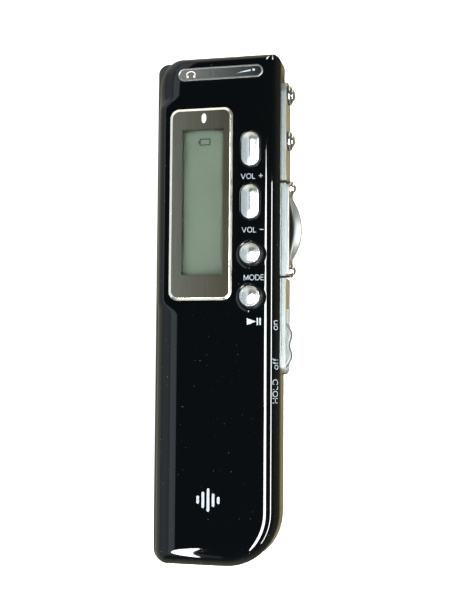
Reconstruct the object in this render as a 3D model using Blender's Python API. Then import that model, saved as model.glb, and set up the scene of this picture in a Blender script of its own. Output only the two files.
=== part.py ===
"""Handheld voice recorder: a slim recorder with a display, front buttons, side keys and two AAA cells.

Driving dimensions are millimetres, and MM turns them into metres where a mesh is made.
X runs across the case with the side keys at +X, Y runs along it with the sockets at +Y,
and Z comes up out of the face.  The recorder lies on its back, which is flat at Z = 0.
"""

import math

import bmesh
import bpy
from mathutils import Matrix, Vector

MM = 0.001

# Case
LENGTH = 103.0
REAR_LEFT = -13.1
COVER_LEFT = -12.6
RIGHT = 13.2
THICKNESS = 15.5
PARTING = 11.8
WALL = 1.2
GAP = 0.15
TOP = LENGTH / 2
BOTTOM = -LENGTH / 2
INNER_LEFT = -11.6
# Corner radii seen from the face: top right, top left, bottom left, bottom right
COVER_CORNERS = (1.4, 5.5, 2.8, 11.0)
REAR_CORNERS = (1.4, 2.0, 2.8, 11.0)
# Width and height of each rounded edge: left, right, bottom, top
COVER_EDGES = ((4.6, 3.6), (3.8, 3.0), (3.8, 3.0), (1.4, 1.4))
REAR_EDGES = ((5.0, 5.0), (4.0, 11.0), (2.5, 2.5), (2.5, 2.5))

# Display
BEZEL = (-9.35, 3.8, 1.5, 40.8)
WINDOW = (-6.7, 1.95, 6.7, 36.5)
BEZEL_RISE = 0.25
BEZEL_PLATE = 0.6
SKIRT_WALL = 0.5
SKIRT_BOTTOM = 14.25
PANE_THICKNESS = 0.4
LED_PLACE = (-2.2, 38.7)
LED_SIZE = (1.0, 2.0)

# Front buttons
BUTTON_X = 7.5
VOLUME_UP_Y = 32.0
VOLUME_DOWN_Y = 21.3
MODE_Y = 10.9
PLAY_Y = 2.3
OVAL_SIZE = (3.6, 6.9)
ROUND_SIZE = (4.1, 4.1)
BUTTON_RISE = 1.0
BUTTON_FLANGE = 0.45
STEM_INSET = 1.2
FRONT_BUTTONS = (
    ("volume_up_button", VOLUME_UP_Y, OVAL_SIZE),
    ("volume_down_button", VOLUME_DOWN_Y, OVAL_SIZE),
    ("mode_button", MODE_Y, ROUND_SIZE),
    ("play_button", PLAY_Y, ROUND_SIZE),
)

# Label plate across the top of the face
LABEL = (-7.8, 10.0, 46.6, 49.3)

# Side trim, keys, rocker and slider, all centred on one height
SIDE_Z = 8.6
TRIM = (-13.2, 47.0)
RECESS_TOP = 49.0
TRIM_HEIGHT = 5.2
TRIM_BACK = 12.55
TRIM_FACE = 14.0
RECESS_FLOOR = 12.4
KEY_Y = (44.3, 34.75)
KEY_RADIUS = 2.0
ROCKER_Y = 16.4
ROCKER_PIVOT_X = 13.2
ROCKER_LENGTH = 13.4
ROCKER_HEIGHT = 3.0
ROCKER_PEAK = 16.8
ROCKER_END = 0.1
BEAD_RADIUS = 1.45
BEAD_OFFSET = 8.5
BEAD_PEAK = 15.7
BLOCK = (6.7, 25.6)
BLOCK_FACE = 14.6
SLIDER = (-11.8, -2.8)
SLIDER_BASE = 13.55

SLIDER_SLOT = (-12.4, 0.2)
SLIDER_HEIGHT = 2.7
FLANGE_STEP = 0.5

# Display module, as x0, x1, y0, y1 and then z0, z1
LCD_PANEL = (-8.0, 3.3, 5.7, 37.0)
LCD_Z = (12.5, 13.55)
LCD_HOLDER = (-8.7, 4.0, 5.0, 37.5)
LCD_WELL = (-7.4, 2.7, 9.2, 36.4)
LCD_SEAT = 12.35
CONTACT_STRIP = (-6.7, 2.0, 6.4, 8.0)

# Boards and what stands on them, as x0, x1, y0, y1
BOARD_Z = 10.0
BOARD_THICKNESS = 0.8
MAIN_BOARD = (-11.2, 11.3, 0.6, 44.4)
SIDE_BOARD = (10.05, 10.5, -12.4, 45.4)
SIDE_BOARD_BOTTOM = 5.7
PROCESSOR = (-1.5, 5.5, 29.0, 36.0)
MEMORY = (-2.5, 7.0, 9.0, 15.5)
CRYSTAL = (-6.5, -3.3, 30.0, 31.4)
CHIP_HEIGHT = 1.0
CRYSTAL_HEIGHT = 0.9
TACT_SIZE = 3.4
TACT_HEIGHT = 1.3
SIDE_SWITCH_X = 10.65
SIDE_SWITCH_LENGTH = 3.0
PLUNGER_REACH = 0.75
SWITCH_END = 11.72
ROCKER_REACH = 4.5
HOLD_SWITCH = (-9.9, -3.2)

# Sockets, microphone and speaker
JACK_X = 3.4
JACK_Z = 7.2
JACK_START = 37.6
JACK_BOTTOM = 4.7
JACK_NOSE = 2.5
JACK_BORE = 1.8
JACK_DEPTH = 12.0
USB_Y = (10.0, 17.7)
USB_Z = (5.85, BOARD_Z - GAP)
USB_WALL = 0.4
CAPSULE_PLACE = (6.0, TOP - WALL - 1.8, 13.0)
CAPSULE_RADIUS = 1.2
SOUND_HOLE_RADIUS = 0.6
SPEAKER_PLACE = (-1.0, 22.0)
SPEAKER_SLOTS = 5
SPEAKER_GRILLE_RADIUS = 5.0

# Battery door with its rails (x0, x1, z0, z1), tray and cells
DOOR_X = (-11.2, 9.9)
DOOR_TOP = -2.6
DOOR_DEPTH = 3.4
LEFT_RAIL = (-11.75, -10.8, 1.7, 2.3)
RIGHT_RAIL = (9.5, 10.35, 1.2, 1.7)
RAIL_TOP = -4.0
RAIL_STARTS = (-48.0, -44.0)
TRAY = (-11.0, 11.5, -48.6, 0.1)
TRAY_ROOF = (11.9, 12.5)
TRAY_WALL = 0.6
CELL_DIAMETER = 10.4
CELL_LENGTH = 44.4
CELL_Z = 6.45
CELL_X = (-6.0, 4.7)
CELL_START = (-45.8, -46.35)
NUB_RADIUS = 1.9
CONTACT_Z = (4.2, 9.0)
LINK_PLATE = (-9.8, 7.4, -47.85, -47.5)
SPRING_WIRE = 0.2
SPRING_TURNS = 2.5
SPRING_RADII = (3.3, 1.4)

# Screws: the case screws' places, then the board screws' places
CASE_SCREWS = ((-8.6, 46.6), (8.6, 46.6), (-8.2, 2.6), (3.0, 2.6))
BOARD_SCREWS = ((-10.1, 34.5), (8.4, 37.0))
BOSS_RADIUS = 1.6
CASE_SCREW_RADII = (1.5, 0.6)
BOARD_SCREW_RADII = (1.1, 0.45)


def clear_scene():
    for item in list(bpy.data.objects):
        bpy.data.objects.remove(item, do_unlink=True)


def material(name, colour, roughness, metallic=0.0, alpha=1.0):
    made = bpy.data.materials.new(name)
    made.use_nodes = True
    shader = made.node_tree.nodes["Principled BSDF"]
    shader.inputs["Base Color"].default_value = (*colour, 1.0)
    shader.inputs["Roughness"].default_value = roughness
    shader.inputs["Metallic"].default_value = metallic
    shader.inputs["Alpha"].default_value = alpha
    return made


def finish(name, bm, surface):
    """Turns a bmesh built in millimetres into a named object in metres."""
    bmesh.ops.recalc_face_normals(bm, faces=bm.faces)
    bmesh.ops.scale(bm, vec=(MM, MM, MM), verts=bm.verts)
    mesh = bpy.data.meshes.new(name)
    bm.to_mesh(mesh)
    bm.free()
    mesh.shade_smooth()
    mesh.set_sharp_from_angle(angle=math.radians(35))
    made = bpy.data.objects.new(name, mesh)
    bpy.context.scene.collection.objects.link(made)
    if surface:
        mesh.materials.append(surface)
    return made


def loft(name, rings, surface=None):
    """Closed solid through rings with the same number of points, with a flat cap at each end."""
    bm = bmesh.new()
    rows = [[bm.verts.new(point) for point in ring] for ring in rings]
    count = len(rows[0])
    for lower, upper in zip(rows, rows[1:]):
        for i in range(count):
            j = (i + 1) % count
            bm.faces.new((lower[i], lower[j], upper[j], upper[i]))
    bm.faces.new(list(reversed(rows[0])))
    bm.faces.new(rows[-1])
    return finish(name, bm, surface)


def plan(x0, x1, y0, y1, radii, steps=5):
    """Rectangle with an elliptical arc at each corner, counterclockwise from the right-hand side."""
    centres = ((x1, y1, -1, -1), (x0, y1, 1, -1), (x0, y0, 1, 1), (x1, y0, -1, 1))
    points = []
    for quarter, ((cx, cy, sx, sy), (rx, ry)) in enumerate(zip(centres, radii)):
        count = steps * 2 if max(rx, ry) > 6 else steps
        for i in range(count + 1):
            turn = math.pi / 2 * (quarter + i / count)
            points.append((cx + sx * rx + rx * math.cos(turn), cy + sy * ry + ry * math.sin(turn)))
    return points


def pad(x0, x1, y0, y1, radius, steps=5):
    return plan(x0, x1, y0, y1, ((radius, radius),) * 4, steps)


def stadium(x, y, width, length, steps=6):
    """Oval with round ends, longer along Y or round; its corner arcs stop just short of meeting."""
    half, reach = width / 2, length / 2
    radius = half - 0.01
    return pad(x - half, x + half, y - reach, y + reach, radius, steps)


def at_z(points, z):
    return [(x, y, z) for x, y in points]


def at_x(points, x):
    """Points given as (y, z), placed at one X."""
    return [(x, y, z) for y, z in points]


def slab(name, points, z0, z1, surface=None):
    return loft(name, (at_z(points, z0), at_z(points, z1)), surface)


def side_slab(name, points, x0, x1, surface=None):
    return loft(name, (at_x(points, x0), at_x(points, x1)), surface)


def box(name, x0, x1, y0, y1, z0, z1, surface=None):
    return slab(name, ((x1, y1), (x0, y1), (x0, y0), (x1, y0)), z0, z1, surface)


def turned(name, profile, place, axis, surface=None, segments=24):
    """Solid of revolution: profile holds (radius, distance along the axis) and never reaches radius 0."""
    turn = {
        "X": Matrix.Rotation(math.radians(90), 3, "Y"),
        "Y": Matrix.Rotation(math.radians(-90), 3, "X"),
        "Z": Matrix.Identity(3),
    }[axis]
    rings = []
    for radius, along in profile:
        ring = []
        for i in range(segments):
            angle = math.tau * i / segments
            point = Vector((radius * math.cos(angle), radius * math.sin(angle), along))
            ring.append(tuple(turn @ point + Vector(place)))
        rings.append(ring)
    return loft(name, rings, surface)


def rod(name, radius, start, end, place, axis, surface=None, segments=24):
    return turned(name, ((radius, start), (radius, end)), place, axis, surface, segments)


def combine(target, tools, operation):
    """Adds one EXACT Boolean for each tool, which stays in the file as a wire guide."""
    for tool in tools:
        tool.hide_render = True
        tool.display_type = "WIRE"
        modifier = target.modifiers.new(f"{operation.lower()}_{tool.name}", "BOOLEAN")
        modifier.operation = operation
        modifier.solver = "EXACT"
        modifier.object = tool


def cut(target, *tools):
    combine(target, tools, "DIFFERENCE")


def join(target, *tools):
    combine(target, tools, "UNION")


def set_origin(target, point):
    """Moves the object's origin to a point in millimetres and leaves its shape where it is."""
    offset = Vector(point) * MM
    target.data.transform(Matrix.Translation(-offset))
    target.location = offset


def edge_inset(z_from_flat, width, height):
    """How far a quarter-ellipse edge has pulled in at a height measured from where its wall ends."""
    share = min(max(z_from_flat / height, 0.0), 1.0)
    return width * (1 - math.sqrt(1 - share * share))


def case_ring(z, left, edges, thin, cover):
    """Outline of a case shell at one height; thin is how much smaller than the outside it is."""
    insets = []
    for width, height in edges:
        width, height = max(width - thin, 0.4), max(height - thin, 0.4)
        reach = z - (THICKNESS - thin - height) if cover else (thin + height) - z
        insets.append(edge_inset(reach, width, height))
    inset_left, inset_right, inset_bottom, inset_top = insets
    right, bottom, top = RIGHT - thin, BOTTOM + thin, TOP - thin
    pulls = (
        (inset_right, inset_top),
        (inset_left, inset_top),
        (inset_left, inset_bottom),
        (inset_right, inset_bottom),
    )
    radii = [
        (max(corner - thin - dx, 0.6), max(corner - thin - dy, 0.6))
        for corner, (dx, dy) in zip(COVER_CORNERS if cover else REAR_CORNERS, pulls)
    ]
    points = plan(
        left + inset_left, right - inset_right, bottom + inset_bottom, top - inset_top, radii
    )
    return at_z(points, z)


def shell(name, outer, inner, surface):
    """Closed shell: rings of both skins run from the open rim to the closed face."""
    bm = bmesh.new()
    skins = []
    for rings in (outer, inner):
        skins.append([[bm.verts.new(point) for point in ring] for ring in rings])
    count = len(skins[0][0])
    strips = [(skins[0][0], skins[1][0])]
    for rows in skins:
        strips += list(zip(rows, rows[1:]))
        bm.faces.new(rows[-1])
    for first, second in strips:
        for i in range(count):
            j = (i + 1) % count
            bm.faces.new((first[i], first[j], second[j], second[i]))
    return finish(name, bm, surface)


def rounded_heights(start, bend, end, steps=7):
    """Heights from a straight wall's start through a rounded edge, closer together near its end."""
    heights = [start]
    for i in range(steps + 1):
        heights.append(bend + (end - bend) * math.sin(math.pi / 2 * i / steps))
    return heights


BLACK_GLOSS = material("black_gloss", (0.008, 0.009, 0.010), 0.08)
SMOKED_GOLD = material("smoked_gold", (0.13, 0.105, 0.055), 0.22, 0.6)
BLACK_PLASTIC = material("black_plastic", (0.02, 0.02, 0.022), 0.45)
TAUPE_METAL = material("taupe_metal", (0.20, 0.19, 0.15), 0.35, 0.8)
CHROME = material("chrome", (0.86, 0.87, 0.88), 0.06, 1.0)
SATIN_SILVER = material("satin_silver", (0.74, 0.76, 0.75), 0.32, 0.9)
DARK_CHROME = material("dark_chrome", (0.30, 0.31, 0.32), 0.15, 1.0)
CLEAR_PANE = material("clear_pane", (0.75, 0.82, 0.76), 0.05, 0.0, 0.35)
LCD_GREEN = material("lcd_green", (0.25, 0.30, 0.23), 0.25)
WHITE_LENS = material("white_lens", (0.90, 0.90, 0.88), 0.20)
BOARD_GREEN = material("board_green", (0.03, 0.16, 0.07), 0.45)
CHIP_BLACK = material("chip_black", (0.03, 0.03, 0.03), 0.55)
SWITCH_METAL = material("switch_metal", (0.66, 0.67, 0.68), 0.30, 1.0)
SPRING_STEEL = material("spring_steel", (0.62, 0.60, 0.56), 0.30, 1.0)
CELL_WRAP = material("cell_wrap", (0.04, 0.10, 0.30), 0.35)
SCREW_STEEL = material("screw_steel", (0.20, 0.20, 0.21), 0.35, 1.0)
CONE_PAPER = material("cone_paper", (0.05, 0.05, 0.05), 0.70)


def front_cover():
    bend = THICKNESS - COVER_EDGES[0][1]
    outer = [
        case_ring(z, COVER_LEFT, COVER_EDGES, 0.0, True)
        for z in rounded_heights(PARTING, bend, THICKNESS)
    ]
    ceiling = THICKNESS - WALL
    inner = [
        case_ring(z, COVER_LEFT + WALL, COVER_EDGES, WALL, True)
        for z in rounded_heights(PARTING, bend, ceiling)
    ]
    cover = shell("front_cover", outer, inner, BLACK_GLOSS)
    high = THICKNESS + 2
    for number, (x, y) in enumerate(CASE_SCREWS):
        boss = rod(f"boss_{number}", BOSS_RADIUS, 2.6, ceiling + 0.4, (x, y, 0), "Z", None, 16)
        pilot = rod(f"pilot_{number}", 0.75, 1.0, 8.0, (x, y, 0), "Z", None, 16)
        join(cover, boss)
        cut(cover, pilot)
    x0, x1, y0, y1 = BEZEL
    pocket = pad(x0 - GAP, x1 + GAP, y0 - GAP, y1 + GAP, 2.0)
    pocket_floor = THICKNESS + BEZEL_RISE - BEZEL_PLATE - GAP
    x0, x1, y0, y1 = WINDOW
    reach = SKIRT_WALL + GAP
    opening = pad(x0 - reach, x1 + reach, y0 - reach, y1 + reach, 0.6, 2)
    led_hole = stadium(*LED_PLACE, LED_SIZE[0] + 2 * GAP, LED_SIZE[1] + 2 * GAP, 3)
    x0, x1, y0, y1 = LABEL
    sound_hole = (CAPSULE_PLACE[0], TOP, CAPSULE_PLACE[2])
    label_pocket = pad(x0 - GAP, x1 + GAP, y0 - GAP, y1 + GAP, (y1 - y0) / 2)
    cut(
        cover,
        slab("bezel_pocket", pocket, pocket_floor, high),
        slab("window_opening", opening, ceiling - 1, high),
        slab("led_hole", led_hole, ceiling - 1, high),
        slab("label_pocket", label_pocket, THICKNESS - 0.5, high),
        rod("microphone_hole", SOUND_HOLE_RADIUS, WALL * -2, WALL, sound_hole, "Y", None, 12),
    )
    for name, y, size in FRONT_BUTTONS:
        hole = stadium(BUTTON_X, y, size[0] + 2 * GAP, size[1] + 2 * GAP)
        cut(cover, slab(f"{name}_hole", hole, ceiling - 1, high))
    return cover


def door_parts(grow):
    """The battery door's outline and its two rails; grow is the clearance around them in the case."""
    x0, x1 = DOOR_X
    edge = box("door_edge", x0 - grow, x1 + grow, BOTTOM - 1, DOOR_TOP + grow, -1, DOOR_DEPTH + grow)
    left_end, right_end = (BOTTOM - 1, BOTTOM - 1) if grow else RAIL_STARTS
    x0, x1, z0, z1 = LEFT_RAIL
    left = box("left_rail", x0 - grow, x1, left_end, RAIL_TOP + grow, z0 - grow, z1 + grow)
    x0, x1, z0, z1 = RIGHT_RAIL
    right = box("right_rail", x0, x1 + grow, right_end, RAIL_TOP + grow, z0 - grow, z1 + grow)
    return edge, left, right


def rear_shell(name, surface):
    outer = [
        case_ring(z, REAR_LEFT, REAR_EDGES, 0.0, False)
        for z in rounded_heights(PARTING - GAP, REAR_EDGES[1][1], 0.0)
    ]
    inner = [
        case_ring(z, INNER_LEFT, REAR_EDGES, WALL, False)
        for z in rounded_heights(PARTING - GAP, REAR_EDGES[1][1], WALL)
    ]
    return shell(name, outer, inner, surface)


def rear_case():
    case = rear_shell("rear_case", SMOKED_GOLD)
    for number, (x, y) in enumerate(CASE_SCREWS):
        place = (x, y, 0)
        join(case, rod(f"screw_pad_{number}", 2.3, 0.6, 2.4, place, "Z", None, 16))
        cut(case, rod(f"screw_clearance_{number}", 0.9, -1, 3, place, "Z", None, 16))
        cut(case, rod(f"counterbore_{number}", 1.7, -1, 1.3, place, "Z", None, 16))
    for number, (x, y) in enumerate(BOARD_SCREWS):
        place = (x, y, 0)
        join(case, rod(f"board_post_{number}", 1.3, 0.6, BOARD_Z - GAP, place, "Z", None, 16))
        cut(case, rod(f"post_pilot_{number}", 0.6, 5.0, BOARD_Z + 1, place, "Z", None, 12))
    cut(case, *door_parts(GAP))
    trim_recess = pad(
        TRIM[0] - GAP, RECESS_TOP, SIDE_Z - TRIM_HEIGHT / 2 - GAP, SIDE_Z + TRIM_HEIGHT / 2 + GAP, 2.4
    )
    cut(case, side_slab("trim_recess", trim_recess, RECESS_FLOOR, RIGHT + 3))
    for number, y in enumerate(KEY_Y):
        cut(case, rod(f"key_hole_{number}", 1.2, -2, 2, (RECESS_FLOOR, y, SIDE_Z), "X", None, 16))
    wall = (RECESS_FLOOR - 2, RECESS_FLOOR + 2)
    usb_opening = (USB_Y[0] - 0.2, USB_Y[1] + 0.2, USB_Z[0] - 0.2, USB_Z[1] + 0.05)
    cut(
        case,
        box("rocker_window", *wall, ROCKER_Y - 5.6, ROCKER_Y + 5.6, SIDE_Z - 0.8, SIDE_Z + 0.8),
        box("slider_window", *wall, -8.8, -3.6, SIDE_Z - 0.55, SIDE_Z + 0.55),
        box("usb_opening", REAR_LEFT - 1, INNER_LEFT + 1, *usb_opening),
        rod("headphone_opening", JACK_NOSE + 0.2, -3, 1, (-JACK_X, TOP, JACK_Z), "Y"),
        rod("microphone_opening", JACK_NOSE + 0.2, -3, 1, (JACK_X, TOP, JACK_Z), "Y"),
    )
    for number in range(SPEAKER_SLOTS):
        y = SPEAKER_PLACE[1] + (number - SPEAKER_SLOTS // 2) * 2.0
        half = math.sqrt(SPEAKER_GRILLE_RADIUS ** 2 - (y - SPEAKER_PLACE[1]) ** 2) + 0.5
        slot = pad(SPEAKER_PLACE[0] - half, SPEAKER_PLACE[0] + half, y - 0.45, y + 0.45, 0.4, 2)
        cut(case, slab(f"speaker_slot_{number}", slot, -1, WALL + 1))
    return case


def battery_door():
    door = rear_shell("battery_door", SMOKED_GOLD)
    edge, left, right = door_parts(0.0)
    combine(door, (edge,), "INTERSECT")
    join(door, left, right)
    return door


def battery_tray():
    x0, x1, y0, y1 = TRAY
    roof = plan(x0, x1, y0, y1, ((1.0, 1.0), (1.0, 1.0), (1.0, 1.0), (8.0, 8.0)))
    tray = slab("battery_tray", roof, *TRAY_ROOF, BLACK_PLASTIC)
    high = TRAY_ROOF[0] + 0.3
    join(
        tray,
        box("tray_top_wall", x0 + 0.3, 9.6, y1 - 0.55, y1, 3.4, high),
        box("tray_bottom_wall", x0 + 0.4, 7.0, y0, y0 + TRAY_WALL, 3.8, high),
    )
    return tray


def side_trim():
    half = TRIM_HEIGHT / 2
    outline = pad(TRIM[0], TRIM[1], SIDE_Z - half, SIDE_Z + half, 2.4)
    trim = side_slab("side_trim", outline, TRIM_BACK, TRIM_FACE, SATIN_SILVER)
    block = pad(BLOCK[0], BLOCK[1], SIDE_Z - half + 0.3, SIDE_Z + half - 0.3, 1.2)
    join(trim, side_slab("rocker_block", block, TRIM_BACK + 0.4, BLOCK_FACE))
    for number, side in enumerate((-1, 1)):
        profile = ((BEAD_RADIUS, 13.4), (BEAD_RADIUS, 15.0), (1.0, 15.1), (0.7, 15.55), (0.3, BEAD_PEAK))
        join(trim, turned(f"bead_{number}", profile, (0, ROCKER_Y + side * BEAD_OFFSET, SIDE_Z), "X"))
    far = BLOCK_FACE + 1
    for number, y in enumerate(KEY_Y):
        place = (0, y, SIDE_Z)
        cut(trim, rod(f"key_opening_{number}", KEY_RADIUS + GAP, TRIM_BACK - 1, far, place, "X"))
        cut(trim, rod(f"key_seat_{number}", KEY_RADIUS + 0.45, TRIM_BACK - 1, 13.3, place, "X"))
    rocker_half = ROCKER_HEIGHT / 2 + 0.2
    slider_half = SLIDER_HEIGHT / 2 + GAP
    seat_half = slider_half + FLANGE_STEP
    back = TRIM_BACK - 1
    reach = ROCKER_LENGTH / 2 + ROCKER_END + GAP
    rocker_slot = (ROCKER_Y - reach, ROCKER_Y + reach)
    cut(
        trim,
        box("rocker_slot", back, far, *rocker_slot, SIDE_Z - rocker_half, SIDE_Z + rocker_half),
        box("pin_notch", back, 13.85, ROCKER_Y - 0.7, ROCKER_Y + 0.7, SIDE_Z - 2.15, SIDE_Z + 2.15),
        box("slider_slot", back, far, *SLIDER_SLOT, SIDE_Z - slider_half, SIDE_Z + slider_half),
        box("slider_seat", back, 13.15, *SLIDER_SLOT, SIDE_Z - seat_half, SIDE_Z + seat_half),
    )
    return trim


def display_bezel():
    x0, x1, y0, y1 = BEZEL
    top = THICKNESS + BEZEL_RISE
    plate = pad(x0, x1, y0, y1, 1.9)
    rim = pad(x0 + 0.35, x1 - 0.35, y0 + 0.35, y1 - 0.35, 1.6)
    bezel = loft(
        "display_bezel",
        (at_z(plate, top - BEZEL_PLATE), at_z(plate, top - 0.25), at_z(rim, top)),
        TAUPE_METAL,
    )
    x0, x1, y0, y1 = WINDOW
    reach = SKIRT_WALL
    skirt = pad(x0 - reach, x1 + reach, y0 - reach, y1 + reach, 0.6, 2)
    join(bezel, slab("skirt", skirt, SKIRT_BOTTOM, top - 0.3))
    led_hole = stadium(*LED_PLACE, LED_SIZE[0] + 2 * GAP, LED_SIZE[1] + 2 * GAP, 3)
    cut(
        bezel,
        box("bezel_window", x0, x1, y0, y1, SKIRT_BOTTOM - 1, top + 1),
        slab("bezel_led_hole", led_hole, SKIRT_BOTTOM - 1, top + 1),
    )
    return bezel


def display_window():
    x0, x1, y0, y1 = WINDOW
    pane = pad(x0 - 1.1, x1 + 1.1, y0 - 1.1, y1 + 0.8, 0.3, 2)
    top = SKIRT_BOTTOM - GAP
    slab("display_window", pane, top - PANE_THICKNESS, top, CLEAR_PANE)


def led_lens():
    x, y = LED_PLACE
    rings = []
    for inset, z in ((0.0, 12.4), (0.0, THICKNESS + BEZEL_RISE), (0.2, THICKNESS + BEZEL_RISE + 0.15)):
        rings.append(at_z(stadium(x, y, LED_SIZE[0] - 2 * inset, LED_SIZE[1] - 2 * inset, 4), z))
    loft("led_lens", rings, WHITE_LENS)


def label_plate():
    x0, x1, y0, y1 = LABEL
    middle = (y1 - y0) / 2
    plate = pad(x0, x1, y0, y1, middle - 0.01)
    rim = pad(x0 + 0.2, x1 - 0.2, y0 + 0.2, y1 - 0.2, middle - 0.21)
    floor = THICKNESS - 0.5 + GAP
    loft("label_plate", (at_z(plate, floor), at_z(plate, 15.5), at_z(rim, 15.65)), DARK_CHROME)


def front_button(name, y, size):
    """Stem, flange that the cover holds back, and a domed cap."""
    ceiling = THICKNESS - WALL
    top = THICKNESS + BUTTON_RISE
    width, length = size
    sections = (
        (STEM_INSET, 13.2),
        (STEM_INSET, ceiling - GAP - BUTTON_FLANGE),
        (-BUTTON_FLANGE, ceiling - GAP - BUTTON_FLANGE),
        (-BUTTON_FLANGE, ceiling - GAP),
        (0.0, ceiling - GAP),
        (0.0, top - 0.55),
        (0.15, top - 0.3),
        (0.5, top - 0.1),
        (1.1, top),
    )
    rings = []
    for inset, z in sections:
        rings.append(at_z(stadium(BUTTON_X, y, width - 2 * inset, length - 2 * inset), z))
    button = loft(name, rings, CHROME)
    set_origin(button, (BUTTON_X, y, THICKNESS))


def side_key(name, y):
    profile = (
        (0.9, 11.75),
        (0.9, 12.85),
        (KEY_RADIUS + 0.3, 12.85),
        (KEY_RADIUS + 0.3, 13.2),
        (KEY_RADIUS, 13.2),
        (KEY_RADIUS, 14.35),
        (1.85, 14.6),
        (1.3, 14.7),
        (1.2, 15.0),
        (0.8, 15.3),
        (0.3, 15.4),
    )
    key = turned(name, profile, (0, y, SIDE_Z), "X", CHROME)
    set_origin(key, (TRIM_FACE, y, SIDE_Z))


def skip_rocker():
    """A bar with a half-moon ridge, which tips about a pin across its middle."""
    half = ROCKER_LENGTH / 2
    base = BLOCK_FACE + 0.2
    rise = ROCKER_PEAK - base
    radius = (half * half + rise * rise) / (2 * rise)
    span = math.asin(half / radius)
    arc_points = 16
    profile = [(12.95, ROCKER_Y - half - ROCKER_END), (base, ROCKER_Y - half - ROCKER_END)]
    for i in range(arc_points + 1):
        turn = span * (2 * i / arc_points - 1)
        profile.append((ROCKER_PEAK - radius * (1 - math.cos(turn)), ROCKER_Y + radius * math.sin(turn)))
    profile += [(base, ROCKER_Y + half + ROCKER_END), (12.95, ROCKER_Y + half + ROCKER_END)]
    low, high = SIDE_Z - ROCKER_HEIGHT / 2, SIDE_Z + ROCKER_HEIGHT / 2
    rocker = slab("skip_rocker", profile, low, high, CHROME)
    join(rocker, rod("rocker_pins", 0.5, -2.0, 2.0, (ROCKER_PIVOT_X, ROCKER_Y, SIDE_Z), "Z", None, 16))
    for number, side in enumerate((-1, 1)):
        y = ROCKER_Y + side * ROCKER_REACH
        leg = box(f"rocker_leg_{number}", SWITCH_END, 13.4, y - 0.5, y + 0.5, SIDE_Z - 0.5, SIDE_Z + 0.5)
        join(rocker, leg)
    set_origin(rocker, (ROCKER_PIVOT_X, ROCKER_Y, SIDE_Z))


def hold_slider():
    """A finger grip with two crests, a flange behind the trim and a fork towards the switch."""
    start, end = SLIDER
    steps = 16
    profile = [(12.75, start)]
    for i in range(steps + 1):
        share = i / steps
        crest = 0.55 * math.sin(math.tau * share) ** 2
        shoulder = 0.85 * math.sin(math.pi * share) ** 0.35
        profile.append((SLIDER_BASE + crest + shoulder, start + (end - start) * share))
    profile.append((12.75, end))
    half = SLIDER_HEIGHT / 2
    slider = slab("hold_slider", profile, SIDE_Z - half, SIDE_Z + half, SATIN_SILVER)
    middle = (start + end) / 2
    join(
        slider,
        box("slider_flange", 12.6, 13.0, start + 0.3, end - 0.3, SIDE_Z - half - 0.45, SIDE_Z + half + 0.45),
        box("slider_fork", SWITCH_END, 12.9, middle - 0.9, middle + 0.9, SIDE_Z - 0.4, SIDE_Z + 0.4),
    )
    set_origin(slider, (TRIM_FACE, middle, SIDE_Z))


def tact_switch(name, x, y):
    low = BOARD_Z + BOARD_THICKNESS + GAP
    half = TACT_SIZE / 2
    switch = box(name, x - half, x + half, y - half, y + half, low, low + TACT_HEIGHT, SWITCH_METAL)
    join(switch, rod(f"{name}_plunger", 0.8, low + 1.0, low + 1.7, (x, y, 0), "Z", None, 16))


def side_switch(name, y):
    x0 = SIDE_SWITCH_X
    half = SIDE_SWITCH_LENGTH / 2
    switch = box(name, x0, x0 + 0.6, y - half, y + half, SIDE_Z - 1.1, SIDE_Z + 1.0, SWITCH_METAL)
    join(switch, rod(f"{name}_plunger", 0.6, x0 + 0.4, x0 + PLUNGER_REACH, (0, y, SIDE_Z), "X", None, 12))


def inset(outline, amount):
    x0, x1, y0, y1 = outline
    return x0 + amount, x1 - amount, y0 + amount, y1 - amount


def display_stack():
    low = BOARD_Z + BOARD_THICKNESS + GAP
    box("lcd_panel", *LCD_PANEL, *LCD_Z, LCD_GREEN)
    holder = box("lcd_holder", *LCD_HOLDER, low, 13.5, BLACK_PLASTIC)
    cut(
        holder,
        box("lcd_seat", *inset(LCD_PANEL, -GAP), LCD_SEAT, 15.0),
        box("lcd_well", *LCD_WELL, BOARD_Z, LCD_SEAT + 0.25),
        box("strip_slot", *inset(CONTACT_STRIP, -0.2), BOARD_Z, LCD_SEAT + 0.25),
    )
    box("lcd_contact_strip", *CONTACT_STRIP, low, LCD_SEAT, CHIP_BLACK)


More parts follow.
